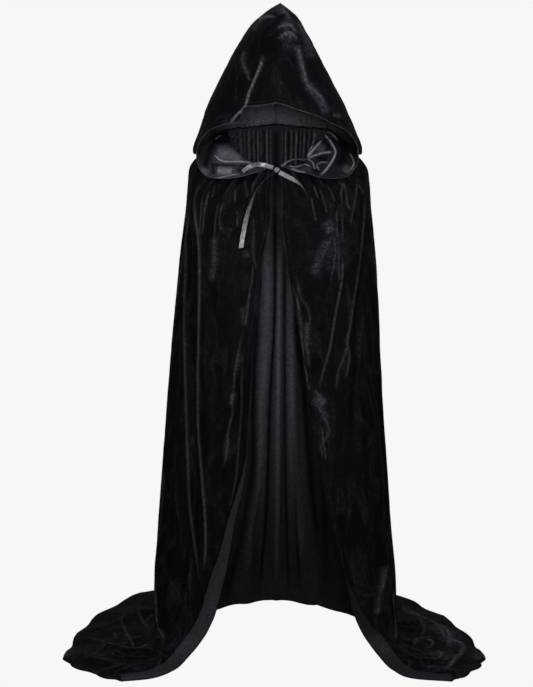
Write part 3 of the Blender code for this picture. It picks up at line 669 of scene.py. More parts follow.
# Gathers under the neck seam behind: x, how bright its painted highlight, how dark the painted shade in the
# gap to its right, height of its end.
innerGathers = [
    (-0.118, 0.14, 0.80, 1.38), (-0.106, 0.30, 0.60, 1.36), (-0.094, 0.16, 0.90, 1.33),
    (-0.081, 0.34, 0.70, 1.30), (-0.067, 0.20, 0.95, 1.34), (-0.055, 0.32, 0.50, 1.28),
    (-0.046, 0.12, 0.85, 1.36), (-0.029, 0.34, 0.60, 1.27), (-0.018, 0.16, 0.00, 1.33),
    (0.015, 0.12, 0.60, 1.35), (0.025, 0.34, 0.90, 1.28), (0.042, 0.22, 0.65, 1.34),
    (0.055, 0.36, 0.90, 1.30), (0.068, 0.14, 0.70, 1.35), (0.078, 0.32, 0.95, 1.31),
    (0.092, 0.18, 0.75, 1.35), (0.106, 0.26, 0.80, 1.37), (0.117, 0.12, 0.00, 1.39),
]
# painted highlight on the longest fold of the fan by the tie, which runs up over the back
innerRayLight = (0.60, gatherMark["light"], [(0.097, 1.366), (0.103, 1.400), (0.110, 1.436)])
innerShadows = [
    (0.75, 0.0095, [(-0.003, 1.44), (-0.003, 1.28)]),
    (0.95, 0.0055, [(-0.005, 1.43), (-0.005, 1.124), (-0.006, 0.887), (-0.014, 0.739), (-0.021, 0.589),
                    (-0.025, 0.436), (-0.032, 0.268), (-0.044, 0.139), (-0.053, 0.020)]),
    (0.85, 0.0050, [(0.023, 1.14), (0.023, 0.886), (0.024, 0.690), (0.026, 0.435), (0.033, 0.204),
                    (0.039, 0.024)]),
    (0.85, 0.0110, [(0.056, 1.00), (0.063, 0.828), (0.078, 0.717), (0.091, 0.543), (0.107, 0.369),
                    (0.133, 0.150)]),
    (0.70, 0.0090, [(-0.060, 0.94), (-0.060, 0.857), (-0.067, 0.740), (-0.070, 0.591), (-0.074, 0.441),
                    (-0.092, 0.308), (-0.123, 0.149), (-0.154, 0.020)]),
]
# Scratches and swirls in the cloth that lies on the floor, as (x, y): the same columns as the creases.
floorCreases = [
    (0.0040, 0.006, 0.40, [(-0.420, 0.128), (-0.395, 0.050), (-0.368, -0.014)]),
    (0.0030, 0.005, 0.35, [(-0.372, 0.110), (-0.382, 0.060), (-0.396, 0.024)]),
    (0.0040, 0.006, 0.40, [(-0.463, 0.060), (-0.429, -0.064), (-0.399, -0.168)]),
    (0.0030, 0.005, 0.30, [(-0.465, -0.055), (-0.454, -0.119)]),
    (0.0030, 0.005, 0.35, [(-0.482, -0.144), (-0.442, -0.156)]),
    (0.0040, 0.006, 0.60, [(-0.385, -0.180), (-0.361, -0.151)]),
    (0.0030, 0.006, 0.35, [(-0.575, -0.250), (-0.583, -0.200), (-0.566, -0.150)]),
    (0.0050, 0.009, 0.35, [(0.378, 0.188), (0.405, 0.101), (0.453, 0.058), (0.471, -0.034),
                           (0.482, -0.098)]),
    (0.0050, 0.008, 0.50, [(0.445, -0.010), (0.476, 0.010), (0.492, -0.048), (0.488, -0.110),
                           (0.480, -0.184)]),
    (0.0050, 0.008, 0.60, [(0.470, -0.085), (0.519, -0.120), (0.512, -0.190), (0.480, -0.260),
                           (0.447, -0.313)]),
    (0.0040, 0.006, 0.45, [(0.377, -0.147), (0.404, -0.106), (0.436, -0.120), (0.430, -0.150),
                           (0.397, -0.168)]),
    (0.0040, 0.006, 0.40, [(0.424, 0.059), (0.423, -0.046), (0.408, -0.079)]),
    (0.0040, 0.007, 0.45, [(0.437, -0.180), (0.450, -0.226), (0.430, -0.260)]),
    (0.0030, 0.006, 0.35, [(0.394, -0.311), (0.433, -0.305), (0.460, -0.335)]),
    (0.0040, 0.007, 0.50, [(0.533, -0.259), (0.566, -0.217), (0.550, -0.165)]),
]
# Grey patches of painted sheen on the cloth that lies on the floor: amount, half width, (x, y) points.
floorBrushedSheen = [
    (0.40, 0.022, [(0.385, 0.170), (0.420, 0.080), (0.465, 0.020)]),
    (0.60, 0.030, [(0.455, 0.010), (0.490, -0.060), (0.495, -0.140)]),
    (0.40, 0.022, [(0.430, -0.200), (0.470, -0.260)]),
    (0.35, 0.014, [(0.535, -0.250), (0.560, -0.190)]),
    (0.08, 0.030, [(-0.420, 0.080), (-0.400, -0.020)]),
    (0.10, 0.025, [(-0.380, -0.100), (-0.370, -0.170)]),
    (0.40, 0.014, [(-0.572, -0.240), (-0.572, -0.170)]),
]
# Folds of the back: they show as light ridges inside, so outside they are troughs. The last six are
# small guessed creases that stand up outside.
backCreases = [
    (-0.0060, 0.010, 0.0, [(-0.030, 1.24), (-0.030, 0.856), (-0.043, 0.643), (-0.045, 0.559),
                           (-0.050, 0.394), (-0.086, 0.20), (-0.120, 0.03)]),
    (-0.0060, 0.009, 0.0, [(0.006, 1.28), (0.007, 0.645), (0.008, 0.397), (0.002, 0.195), (-0.004, 0.015)]),
    (-0.0060, 0.010, 0.0, [(0.033, 1.24), (0.043, 0.856), (0.046, 0.643), (0.056, 0.495), (0.065, 0.336),
                           (0.075, 0.148), (0.082, 0.023)]),
    (-0.0050, 0.011, 0.0, [(-0.070, 1.22), (-0.076, 0.80), (-0.092, 0.50), (-0.128, 0.20), (-0.170, 0.03)]),
    (-0.0050, 0.010, 0.0, [(0.074, 1.24), (0.088, 0.86), (0.100, 0.50), (0.126, 0.20), (0.150, 0.03)]),
    (-0.0050, 0.012, 0.0, [(-0.118, 1.16), (-0.130, 0.70), (-0.160, 0.34), (-0.200, 0.05)]),
    (-0.0050, 0.012, 0.0, [(0.116, 1.10), (0.140, 0.62), (0.170, 0.28), (0.196, 0.05)]),
    (0.0030, 0.006, 0.45, [(-0.150, 1.30), (-0.158, 1.12), (-0.150, 0.95), (-0.166, 0.82)]),
    (0.0030, 0.006, 0.45, [(0.150, 1.31), (0.160, 1.18), (0.156, 1.02), (0.170, 0.90), (0.166, 0.78)]),
    (0.0030, 0.006, 0.35, [(-0.060, 0.80), (-0.064, 0.66), (-0.076, 0.52)]),
    (0.0030, 0.006, 0.35, [(0.110, 0.92), (0.116, 0.80), (0.112, 0.70), (0.122, 0.60)]),
    (0.0030, 0.006, 0.45, [(-0.180, 0.62), (-0.196, 0.46), (-0.214, 0.30)]),
    (0.0030, 0.006, 0.45, [(0.190, 0.60), (0.206, 0.44), (0.232, 0.24)]),
]
# Creases of the sides, as (y, height), the same kind as in front: left, then right.
sideCreases = {
    "Left": [
        (0.0030, 0.006, 0.45, [(-0.055, 1.27), (-0.048, 1.05), (-0.060, 0.86), (-0.052, 0.70)]),
        (0.0040, 0.007, 0.55, [(0.020, 1.30), (0.030, 1.10), (0.024, 0.90), (0.036, 0.72), (0.030, 0.60)]),
        (0.0030, 0.006, 0.45, [(-0.020, 0.92), (-0.030, 0.70), (-0.042, 0.46), (-0.036, 0.30)]),
        (0.0030, 0.006, 0.35, [(0.070, 1.25), (0.082, 1.08), (0.078, 0.92)]),
        (0.0040, 0.007, 0.55, [(0.060, 0.66), (0.072, 0.48), (0.064, 0.32), (0.082, 0.16)]),
        (0.0030, 0.006, 0.45, [(-0.090, 0.50), (-0.100, 0.36), (-0.116, 0.20)]),
    ],
    "Right": [
        (0.0030, 0.006, 0.45, [(-0.045, 1.22), (-0.054, 1.02), (-0.046, 0.84), (-0.058, 0.70)]),
        (0.0040, 0.007, 0.55, [(0.030, 1.26), (0.022, 1.08), (0.034, 0.92), (0.028, 0.76)]),
        (0.0030, 0.006, 0.45, [(-0.010, 0.84), (-0.024, 0.64), (-0.030, 0.44), (-0.046, 0.28)]),
        (0.0030, 0.006, 0.35, [(0.078, 1.20), (0.086, 1.00), (0.080, 0.86)]),
        (0.0040, 0.007, 0.55, [(0.066, 0.60), (0.080, 0.42), (0.074, 0.26), (0.092, 0.12)]),
    ],
}
# Crumples: how high, and the lengths of their forms along x, y and z.
crumple = {
    "fall": 0.0015, "longer": (0.055, 0.055, 0.16), "shorter": (0.024, 0.024, 0.07),
    "fine": 0.0004, "finest": (0.009, 0.009, 0.022), "from": (0.01, 0.06), "stripCalm": 0.5,
}
# Heaps of the cloth on the floor, with how sharp their ridges are.
heap = {
    "from": 0.02, "full": 0.04, "warp": 0.025, "warpLengths": (0.09, 0.09, 0.3),
    "big": 0.0100, "bigLengths": (0.075, 0.075, 0.4), "bigSharp": 2.2,
    "small": 0.0016, "smallLengths": (0.026, 0.026, 0.4), "smallSharp": 2.0,
    "hemCalm": 0.7, "hemFrom": 1.60, "edgeCalm": (0.90, 0.98),
}
# noise for the patches of painted sheen behind
pressedPileSheen = {
    "longer": (0.045, 0.045, 0.11), "shorter": (0.018, 0.018, 0.05), "most": 0.9, "between": (-0.1, 0.7),
}
# how much highlight is painted on a sharp bend by itself
bendShine = {"hanging": 0.15, "lying": 0.12, "hood": 0.20, "moreBehind": 3}
creaseShine = {"front": 0.31, "behind": 1.20, "beside": 0.45, "lying": 0.58}  # and the single creases
# Painted shade on the inside: darker towards the floor, under the hood, and on the right turned-back strip.
insideShade = {
    "low": 0.80, "lowBetween": (0.10, 1.10),  # the inside gets darker towards the floor
    "stripLess": 0.20,
    "underHoodShade": 0.66, "underHoodBetween": (1.22, 1.36),
    "turnedBackShade": {"Left": 0.0, "Right": 0.84},
}
# painted highlight on the folded front edges, near the tie
edgeLight = {"amount": 0.20, "between": (0.18, 0.34)}  # on the folded front edges, near the tie


def levelAt(down):
    table = np.array(bodyLevels)
    values = curveThrough(table[:, 0], table[:, 1:], np.atleast_1d(down))[0]
    return dict(zip(levelNames[1:], values))


def stripWidth(down):
    strip = body["strip"]
    share = strip["neckShare"]
    grown = share + (1 - share) * ease(down, 0, strip["fullAt"])
    tapered = ease(down, strip["taperFrom"], bodyLevels[-1][0])
    return strip["width"] * grown * (1 - strip["hemTaper"] * tapered)


# how far the front strip, turned back by this angle, reaches past the line where it turns
def stripReach(turn, width):
    radius = body["strip"]["radius"]
    flat = width - radius * turn
    return max(radius, radius * math.sin(turn) + flat * math.cos(turn))


# one level of the right half's shape, from the centre back to the front edge, unfolded
def levelCurve(down, side):
    row = levelAt(down)
    sideX, edgeX = row["side" + side], row["edge" + side]
    edgeX += stripReach(row["turn" + side] * math.pi, stripWidth(down))
    angle = np.linspace(0, math.pi / 2, body["curvePoints"])
    far, near = np.sin(angle), np.cos(angle)
    out, back = far ** (2 / row["round" + side]), near ** (2 / row["round" + side])
    behind = np.stack([
        sideX * out,
        row["sideY"] + (row["backY"] - row["sideY"]) * back,
        row["sideZ"] + (row["backZ"] - row["sideZ"]) * back,
    ], axis=1)
    out, front = near ** (2 / row["roundFront"]), far ** (2 / row["roundFront"])
    before = np.stack([
        edgeX + (sideX - edgeX) * out,
        row["sideY"] + (row["edgeY"] - row["sideY"]) * front,
        row["sideZ"] + (row["edgeZ"] - row["sideZ"]) * front,
    ], axis=1)
    return behind, before


# how far along a line each of its points is
def lengthAlong(line):
    return np.append(0, np.cumsum(np.linalg.norm(np.diff(line, axis=0), axis=1)))


# values at these places, which are given in the lengths that belong to the values' rows
def valuesAt(places, length, values):
    return np.stack([np.interp(places, length, values[:, k]) for k in range(3)], axis=1)


def evenPoints(curve, shares):
    length = lengthAlong(curve)
    return valuesAt(shares * length[-1], length, curve)


def levelPoints(down, side, across):
    behind, before = levelCurve(down, side)
    low, high = body["backShare"]
    middle = low + (high - low) * down / bodyLevels[-1][0]
    first = evenPoints(behind, np.clip(across / middle, 0, 1))
    second = evenPoints(before, np.clip((across - middle) / (1 - middle), 0, 1))
    points = np.where((across < middle)[:, None], first, second)
    rise = body["neckRise"]
    x, atBack = points[:, 0], ease(points[:, 1], *rise["behind"])
    up = rise["up"] * np.exp(-((x / rise["half"]) ** 2)) + rise["uneven"] * np.sin(x * rise["waves"])
    points[:, 2] += up * atBack * (1 - ease(down, 0, rise["gone"]))
    return points


def foldWave(across):
    folds = body["folds"]
    drift = folds["uneven"] * np.sin(math.tau * (folds["driftWaves"] * across + folds["driftStart"])) * across
    phase = math.tau * (folds["count"] * across + drift)
    return -np.cos(phase + folds["lean"] * np.sin(phase) * across)


def troughDepth(points, troughs):
    depth = np.zeros(points.shape[:-1])
    start, end = body["troughEnds"]
    for trough in troughs:
        (xTop, xLow), (zTop, zLow) = trough["x"], trough["z"]
        share = (zTop - points[..., 2]) / (zTop - zLow)
        middle = xTop + (xLow - xTop) * np.clip(share, 0, 1)
        fades = ease(share, *start) * (1 - ease(share, *end))
        fromMiddle = (abs(points[..., 0]) - middle) / trough["half"]
        inFront = points[..., 1] < body["troughsBefore"]
        depth += trough["depth"] * np.exp(-fromMiddle**2) * fades * inFront
    return depth


# the strip beyond the front edge, which rolls back over the velvet where turn is 1
def turnedStrip(side, points, normals, downs, shares):
    edge, normal = points[:, -1], normals[:, -1]
    along = unitOf(np.gradient(edge, axis=0))
    beyond = unitOf(np.cross(normal, along))
    beyond *= np.sign(np.sum(beyond * (edge - points[:, -2]), axis=1))[:, None]
    turn = np.array([levelAt(d)["turn" + side] for d in downs]) * math.pi
    width = stripWidth(downs)
    radius = body["strip"]["radius"]
    columns = []
    for share in shares:
        length = share * width
        bent = np.minimum(turn, length / radius)
        rest = length - bent * radius
        out = radius * np.sin(bent) + rest * np.cos(bent)
        up = radius * (1 - np.cos(bent)) + rest * np.sin(bent)
        columns.append(edge + out[:, None] * beyond + up[:, None] * normal)
    return np.stack(columns, axis=1)


# how much each point belongs to the front, the back, the side and the cloth on the floor
def zonesOf(real, normals, downs):
    lying = ease(downs, body["floorFrom"], body["floorFull"])[:, None] * np.ones(real.shape[1])
    return {
        "front": (1 - ease(real[..., 1], 0.0, 0.05)) * ease(-normals[..., 1], 0.05, 0.3) * (1 - lying),
        "behind": ease(real[..., 1], 0.05, 0.10) * (1 - lying),
        "beside": ease(abs(normals[..., 0]), 0.6, 0.8) * (1 - lying),
        "lying": lying,
    }


# all the single creases and small crumples, as lift along the normal and shine of the crest
def fineForm(side, points, downs, stripShare):
    real, normals = placed(points, side), gridNormals(points)
    x, y, z = np.moveaxis(real, -1, 0)
    zones = zonesOf(real, normals, downs)
    lift, shine = np.zeros(x.shape), np.zeros(x.shape)
    for zone, level, height, creases in (
        ("front", x, z, bodyCreases), ("behind", x, z, backCreases),
        ("beside", y, z, sideCreases[side]), ("lying", x, y, floorCreases),
    ):
        up, gloss = creaseLift(level, height, creases)
        lift += up * zones[zone]
        shine = np.maximum(shine, gloss * zones[zone] * creaseShine[zone])
    falls = 1 - zones["lying"]
    started = ease(downs, *crumple["from"])[:, None]
    soft = layeredNoise(real, crumple["longer"], crumple["shorter"], 11)
    fine = softNoise(real, crumple["finest"], 13)
    calm = 1 - crumple["stripCalm"] * stripShare[None, :]
    lift += (crumple["fall"] * soft + crumple["fine"] * fine) * falls * started * calm
    return lift, shine


# The back is guessed to be pressed into patches all over, and they are given painted sheen.
def brushedSheenBehind(real):
    patches = layeredNoise(real, pressedPileSheen["longer"], pressedPileSheen["shorter"], 41)
    return pressedPileSheen["most"] * ease(patches, *pressedPileSheen["between"])


# painted highlights on the gathers under the neck seam behind, and painted shade in the gaps between them
def gatherLines():
    mark = gatherMark
    lines, gapShades = [innerRayLight], []
    afters = [at for at, *_ in innerGathers[1:]] + [mark["lastGap"]]
    for (at, light, dark, end), after in zip(innerGathers, afters):
        lines.append((light, mark["light"], [(at, mark["top"]), (at * mark["narrows"], end)]))
        gap, gapEnd = (at + after) / 2, end - mark["shorter"]
        gapShades.append((dark, mark["gap"], [(gap, mark["top"]), (gap * mark["narrows"], gapEnd)]))
    return lines, gapShades


# the painted crest highlights, painted sheen patches and painted shadows of the two faces of a body half
def bodyTones(side, points, downs, stripShare, shine):
    real, normals = placed(points, side), gridNormals(points)
    x, y, z = np.moveaxis(real, -1, 0)
    zones = zonesOf(real, normals, downs)
    offSeam = ease(points[..., 0], *sharpBend["offSeam"])
    bent = ease(bendOf(points), *sharpBend["shines"]) * offSeam * (1 - stripShare)[None, :]
    bent *= bendShine["hanging"] * (1 - zones["lying"]) + bendShine["lying"] * zones["lying"]
    bent *= 1 + bendShine["moreBehind"] * zones["behind"]
    brushedSheen = np.maximum(
        markShare(x, z, bodyBrushedSheen) * zones["front"], markShare(x, y, floorBrushedSheen) * zones["lying"],
    )
    brushedSheen = np.maximum(brushedSheen, brushedSheenBehind(real) * zones["behind"])
    # painted shade inside: lower down, under the hood, in valleys and gaps, and on the turned-back strip
    shade = insideShade
    low = shade["low"] * (1 - ease(z, *shade["lowBetween"])) * (1 - shade["stripLess"] * stripShare[None, :])
    underHoodShade = shade["underHoodShade"] * ease(z, *shade["underHoodBetween"]) * zones["behind"]
    lines, gapShades = gatherLines()
    valleyShade = np.maximum(markShare(x, z, innerShadows), markShare(x, z, gapShades)) * zones["behind"]
    ridges = np.maximum(markShare(x, z, innerLights) * (1 - underHoodShade), markShare(x, z, lines))
    lights = ridges * (1 - low) * zones["behind"] * (1 - valleyShade)
    turnedBackShade = shade["turnedBackShade"][side] * stripShare[None, :] * (1 - low)
    shadow = 1 - (1 - low) * (1 - underHoodShade) * (1 - valleyShade) * (1 - turnedBackShade)
    none = np.zeros(x.shape)
    # painted highlight along the outermost column of the folded front edge
    border = np.exp(-((x.shape[1] - 1 - np.arange(x.shape[1])) ** 2))[None, :]
    rim = edgeLight["amount"] * border * (1 - ease(downs, *edgeLight["between"]))[:, None]
    return {
        "crestHighlight": (np.maximum(np.maximum(bent, shine), rim), lights), "brushedSheen": (brushedSheen, none),
        "shadow": (none, shadow),
    }


# ridges that wander, higher away from the hem
def floorHeaps(real, downs, across):
    lying = ease(downs, body["floorFrom"] + heap["from"], body["floorFull"] + heap["full"])[:, None]
    warp = heap["warp"] * np.stack([
        softNoise(real, heap["warpLengths"], 21), softNoise(real, heap["warpLengths"], 22),
        np.zeros(real.shape[:2]),
    ], axis=-1)
    big, small = (
        (1 - abs(softNoise(real + warp, heap[size + "Lengths"], seed)) * heap[size + "Sharp"]).clip(0) ** 2
        for size, seed in (("big", 23), ("small", 24))
    )
    hem = 1 - heap["hemCalm"] * ease(downs, heap["hemFrom"], bodyLevels[-1][0])[:, None]
    edge = 1 - ease(across, *heap["edgeCalm"])[None, :]
    return lying * hem * edge * (heap["big"] * big + heap["small"] * small)


def bodyRows():
    top, hem, rows = clothWall["seamTurn"], bodyLevels[-1][0], body["rowsOf"]
    topGap, hemGap, lastGap = body["rowGaps"]
    neck = np.linspace(0, body["neckTo"], rows["neck"] + 1)[:-1]
    fall = np.linspace(body["neckTo"], body["floorFrom"], rows["fall"] + 1)[:-1]
    floor = np.linspace(body["floorFrom"], hem - hemGap, rows["floor"])
    return np.concatenate([
        [top], top + topGap + neck, fall + top + topGap, floor + top, [hem - lastGap, hem],
    ])


def bodyColumns():
    steps = np.linspace(0, 1, body["columnsRound"])
    spread = curveThrough(*body["columnsAt"], steps)[:, 0]
    return np.concatenate([[0, body["firstColumn"]], spread[1:]])


def bodySurface(side, downs, across, stripShares):
    points = np.array([levelPoints(d, side, across) for d in downs])
    normals = gridNormals(points)
    depths = np.array(body["foldDepths"])
    behind, before = curveThrough(depths[:, 0], depths[:, 1:], downs).T[:, :, None]
    front = ease(across, *body["foldsInFront"])[None, :]
    smoothEdge = 1 - ease(across, *body["smoothEdge"])[None, :]
    depth = (behind * (1 - front) + before * front) * smoothEdge
    wave = foldWave(across)[None, :]
    lying = ease(downs, body["floorFrom"], body["floorFull"])[:, None]
    push = depth * wave * (1 - lying)
    gathers = body["gathers"]
    share = ease(downs, gathers["from"], gathers["full"])
    share = share * (1 - ease(downs, gathers["fades"], gathers["gone"]))
    uneven = 1
    for amount, waves in gathers["uneven"]:
        uneven = uneven + amount * np.sin(math.tau * waves * across)
    ripple = np.cos(math.tau * gathers["count"] * across) * uneven
    push = push + gathers["depth"] * share[:, None] * ripple[None, :]
    push = push - troughDepth(points, body["troughs" + side])
    seam = body["centreSeam"]
    seamPull = seam["pull"] * np.exp(-((points[..., 0] / seam["half"]) ** 2))
    seamPull = seamPull * ease(points[..., 1], *seam["behind"])
    points = points + (push - seamPull)[..., None] * normals
    floor = body["floorRidges"]
    places = floor["across"] * across[None, :] + floor["down"] * downs[:, None]
    ridges = 1 + 0.5 * wave + 0.5 * np.cos(math.tau * places)
    points[..., 2] += depth * ridges * lying
    outward = unitOf(points * (1, 1, 0)) * body["hemScallop"]
    atHem = ease(downs, body["scallopFrom"], bodyLevels[-1][0])[:, None]
    points += outward * (wave * atHem)[..., None]
    points[..., 2] += floorHeaps(placed(points, side), downs, across)
    strip = turnedStrip(side, points, gridNormals(points), downs, stripShares)
    points = np.concatenate([points, strip], axis=1)
    stripShare = np.append(np.zeros(len(across)), np.ones(len(stripShares)))
    lift, shine = fineForm(side, points, downs, stripShare)
    points += lift[..., None] * gridNormals(points)
    points[..., 2] = np.maximum(points[..., 2], clothWall["thick"] / 2 + clothWall["floorGap"])
    return points, bodyTones(side, points, downs, stripShare, shine)


def makeBody(side, looks):
    strip = np.append(np.linspace(0, body["lastColumn"], body["columnsStrip"] + 1)[1:], 1.0)
    points, tones = bodySurface(side, bodyRows(), bodyColumns(), strip)
    piece = clothPiece("cloakBody" + side, points, side, tones, looks)
    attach(piece, "root")
    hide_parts("body_" + side.lower())
    return piece, points


# The hood's half from the neck seam (up 0) to the top seam (up 1). Each row runs from the free front
# edge round the side to the centre-back seam. Below up 0.35 it slumps over the shoulder like a collar.
hood = {
    "across": {"edge": 0.0, "cheek": 0.16, "temple": 0.36, "side": 0.55, "rear": 0.79, "back": 1.0},
    "rows": [
        (0.10, (0.060, -0.142, 1.318), (0.096, -0.122, 1.341), (0.155, -0.040, 1.406),
         (0.180, 0.026, 1.414), (0.118, 0.098, 1.430), (0.0, 0.122, 1.441)),
        (0.20, (0.128, -0.143, 1.304), (0.152, -0.112, 1.332), (0.198, -0.035, 1.388),
         (0.208, 0.018, 1.391), (0.150, 0.121, 1.401), (0.0, 0.150, 1.414)),
        (0.30, (0.190, -0.112, 1.310), (0.206, -0.080, 1.342), (0.219, -0.028, 1.370),
         (0.228, 0.014, 1.370), (0.170, 0.140, 1.378), (0.0, 0.168, 1.392)),
        (0.40, (0.217, -0.088, 1.350), (0.220, -0.050, 1.374), (0.228, -0.010, 1.388),
         (0.230, 0.020, 1.388), (0.176, 0.150, 1.402), (0.0, 0.180, 1.420)),
        (0.50, (0.214, -0.074, 1.394), (0.215, -0.040, 1.413), (0.213, -0.004, 1.426),
         (0.211, 0.026, 1.428), (0.170, 0.150, 1.460), (0.0, 0.186, 1.482)),
        (0.60, (0.186, -0.096, 1.428), (0.192, -0.055, 1.458), (0.193, -0.006, 1.482),
         (0.192, 0.032, 1.490), (0.153, 0.143, 1.530), (0.0, 0.182, 1.556)),
        (0.70, (0.150, -0.118, 1.447), (0.161, -0.075, 1.492), (0.168, -0.018, 1.532),
         (0.167, 0.034, 1.547), (0.130, 0.132, 1.590), (0.0, 0.170, 1.618)),
        (0.80, (0.110, -0.137, 1.465), (0.127, -0.096, 1.528), (0.138, -0.032, 1.588),
         (0.134, 0.034, 1.611), (0.101, 0.117, 1.652), (0.0, 0.152, 1.678)),
        (0.90, (0.060, -0.154, 1.481), (0.078, -0.122, 1.562), (0.094, -0.052, 1.645),
         (0.092, 0.024, 1.684), (0.067, 0.092, 1.719), (0.0, 0.120, 1.736)),
        (0.955, (0.032, -0.160, 1.490), (0.046, -0.138, 1.578), (0.060, -0.081, 1.668),
         (0.058, -0.004, 1.722), (0.040, 0.064, 1.757), (0.0, 0.092, 1.765)),
        (1.00, (0.0, -0.165, 1.500), (0.0, -0.150, 1.590), (0.0, -0.108, 1.686),
         (0.0, -0.035, 1.750), (0.0, 0.032, 1.779), (0.0, 0.062, 1.786)),
    ],
    "folds": {
        "count": 3.5, "depth": 0.006, "from": 0.32, "full": 0.45, "gone": 0.85, "behindEdge": (0.1, 0.35),
    },
    # the left half's front edge catches in a tuck: it steps up and back just inside of x
    "tuck": {
        "x": 0.094, "soft": 0.006, "lift": 0.017, "drop": 0.015, "step": 0.010, "spread": 0.05,
        "reach": 0.30, "from": (0.5, 0.62),
    },
    "gathers": {"count": 20, "depth": 0.0020, "from": (0.004, 0.03), "gone": 0.16},
    # by the tie the right half's gathers stand up in a fan over the neck seam
    "fan": {"x": 0.108, "half": 0.034, "shift": (-0.014, -0.004, 0.020), "from": 0.03, "gone": (0.07, 0.17)},
    "crumple": {
        "soft": 0.0016, "longer": (0.05, 0.05, 0.06), "shorter": (0.02, 0.02, 0.028),
        "fine": 0.0004, "finest": (0.008, 0.008, 0.012), "from": (0.02, 0.1),
    },
    # painted shade in the neck seam and on the open lobes; painted light on the hood's inside; painted
    # highlights on the lobes' creases and the front edge
    "seam": {"pull": 0.0016, "half": 0.006}, "neckShade": {"amount": 0.9, "half": 0.012},
    "lobeShade": {"Left": 0.48, "Right": 0.85},  # how dark the open lobes lie in the hood's shadow
    "insideLight": 0.34, "lobeGloss": 0.8,
    "edgeHalf": 0.004, "edgeLight": (0.4, 0.2),  # the front edge catches light, outside and inside
    "outsideFrom": (0.50, 0.58), "lobesTo": (0.42, 0.50),
    "rowsUp": (118, 110), "columnsRound": 190,
}
# Creases of the hood's outside: rise, half width, shine, points as (x, height).
hoodCreases = [
    (0.0050, 0.005, 1.0, [(-0.135, 1.440), (-0.108, 1.470), (-0.087, 1.491), (-0.074, 1.531),
                          (-0.055, 1.575), (-0.043, 1.606), (-0.042, 1.630)]),
    (0.0035, 0.007, 0.5, [(-0.052, 1.728), (-0.040, 1.737), (-0.029, 1.738), (-0.004, 1.731)]),
    (0.0030, 0.007, 0.2, [(-0.088, 1.645), (-0.093, 1.612), (-0.079, 1.576), (-0.074, 1.557)]),
    (0.0040, 0.008, 0.3, [(0.050, 1.660), (0.057, 1.635), (0.064, 1.603), (0.070, 1.576), (0.080, 1.544),
                          (0.105, 1.527), (0.132, 1.49)]),
    (-0.0040, 0.006, 0.0, [(-0.004, 1.741), (0.028, 1.758)]),
    (-0.0035, 0.006, 0.0, [(-0.004, 1.714), (0.038, 1.724)]),
    (0.0025, 0.007, 0.5, [(-0.004, 1.700), (0.030, 1.712), (0.050, 1.690)]),
    (0.0025, 0.007, 0.5, [(0.000, 1.668), (0.030, 1.690), (0.052, 1.672)]),
    (0.0025, 0.008, 0.4, [(0.010, 1.765), (0.024, 1.742), (0.032, 1.730)]),
]
# The hood's grey patches of painted sheen, where the pile is brushed: amount, half width, points.
hoodBrushedSheen = [
    (1.00, 0.016, [(0.008, 1.775), (0.018, 1.745)]),
    (0.95, 0.020, [(0.014, 1.725), (0.040, 1.705)]),
    (0.85, 0.018, [(0.012, 1.690), (0.045, 1.675)]),
    (0.50, 0.016, [(0.015, 1.660), (0.050, 1.650)]),
    (0.70, 0.014, [(0.055, 1.735), (0.078, 1.680), (0.094, 1.620)]),
    (0.90, 0.009, [(0.050, 1.660), (0.057, 1.635), (0.064, 1.603), (0.070, 1.576), (0.078, 1.548)]),
    (1.00, 0.011, [(0.074, 1.556), (0.100, 1.528), (0.118, 1.500), (0.134, 1.474)]),
    (0.90, 0.006, [(0.146, 1.472), (0.172, 1.470)]),
    (0.60, 0.010, [(-0.066, 1.698), (-0.052, 1.724), (-0.030, 1.738)]),
    (0.40, 0.008, [(-0.088, 1.645), (-0.093, 1.612), (-0.079, 1.576)]),
    (0.35, 0.010, [(-0.020, 1.760), (-0.008, 1.745)]),
]
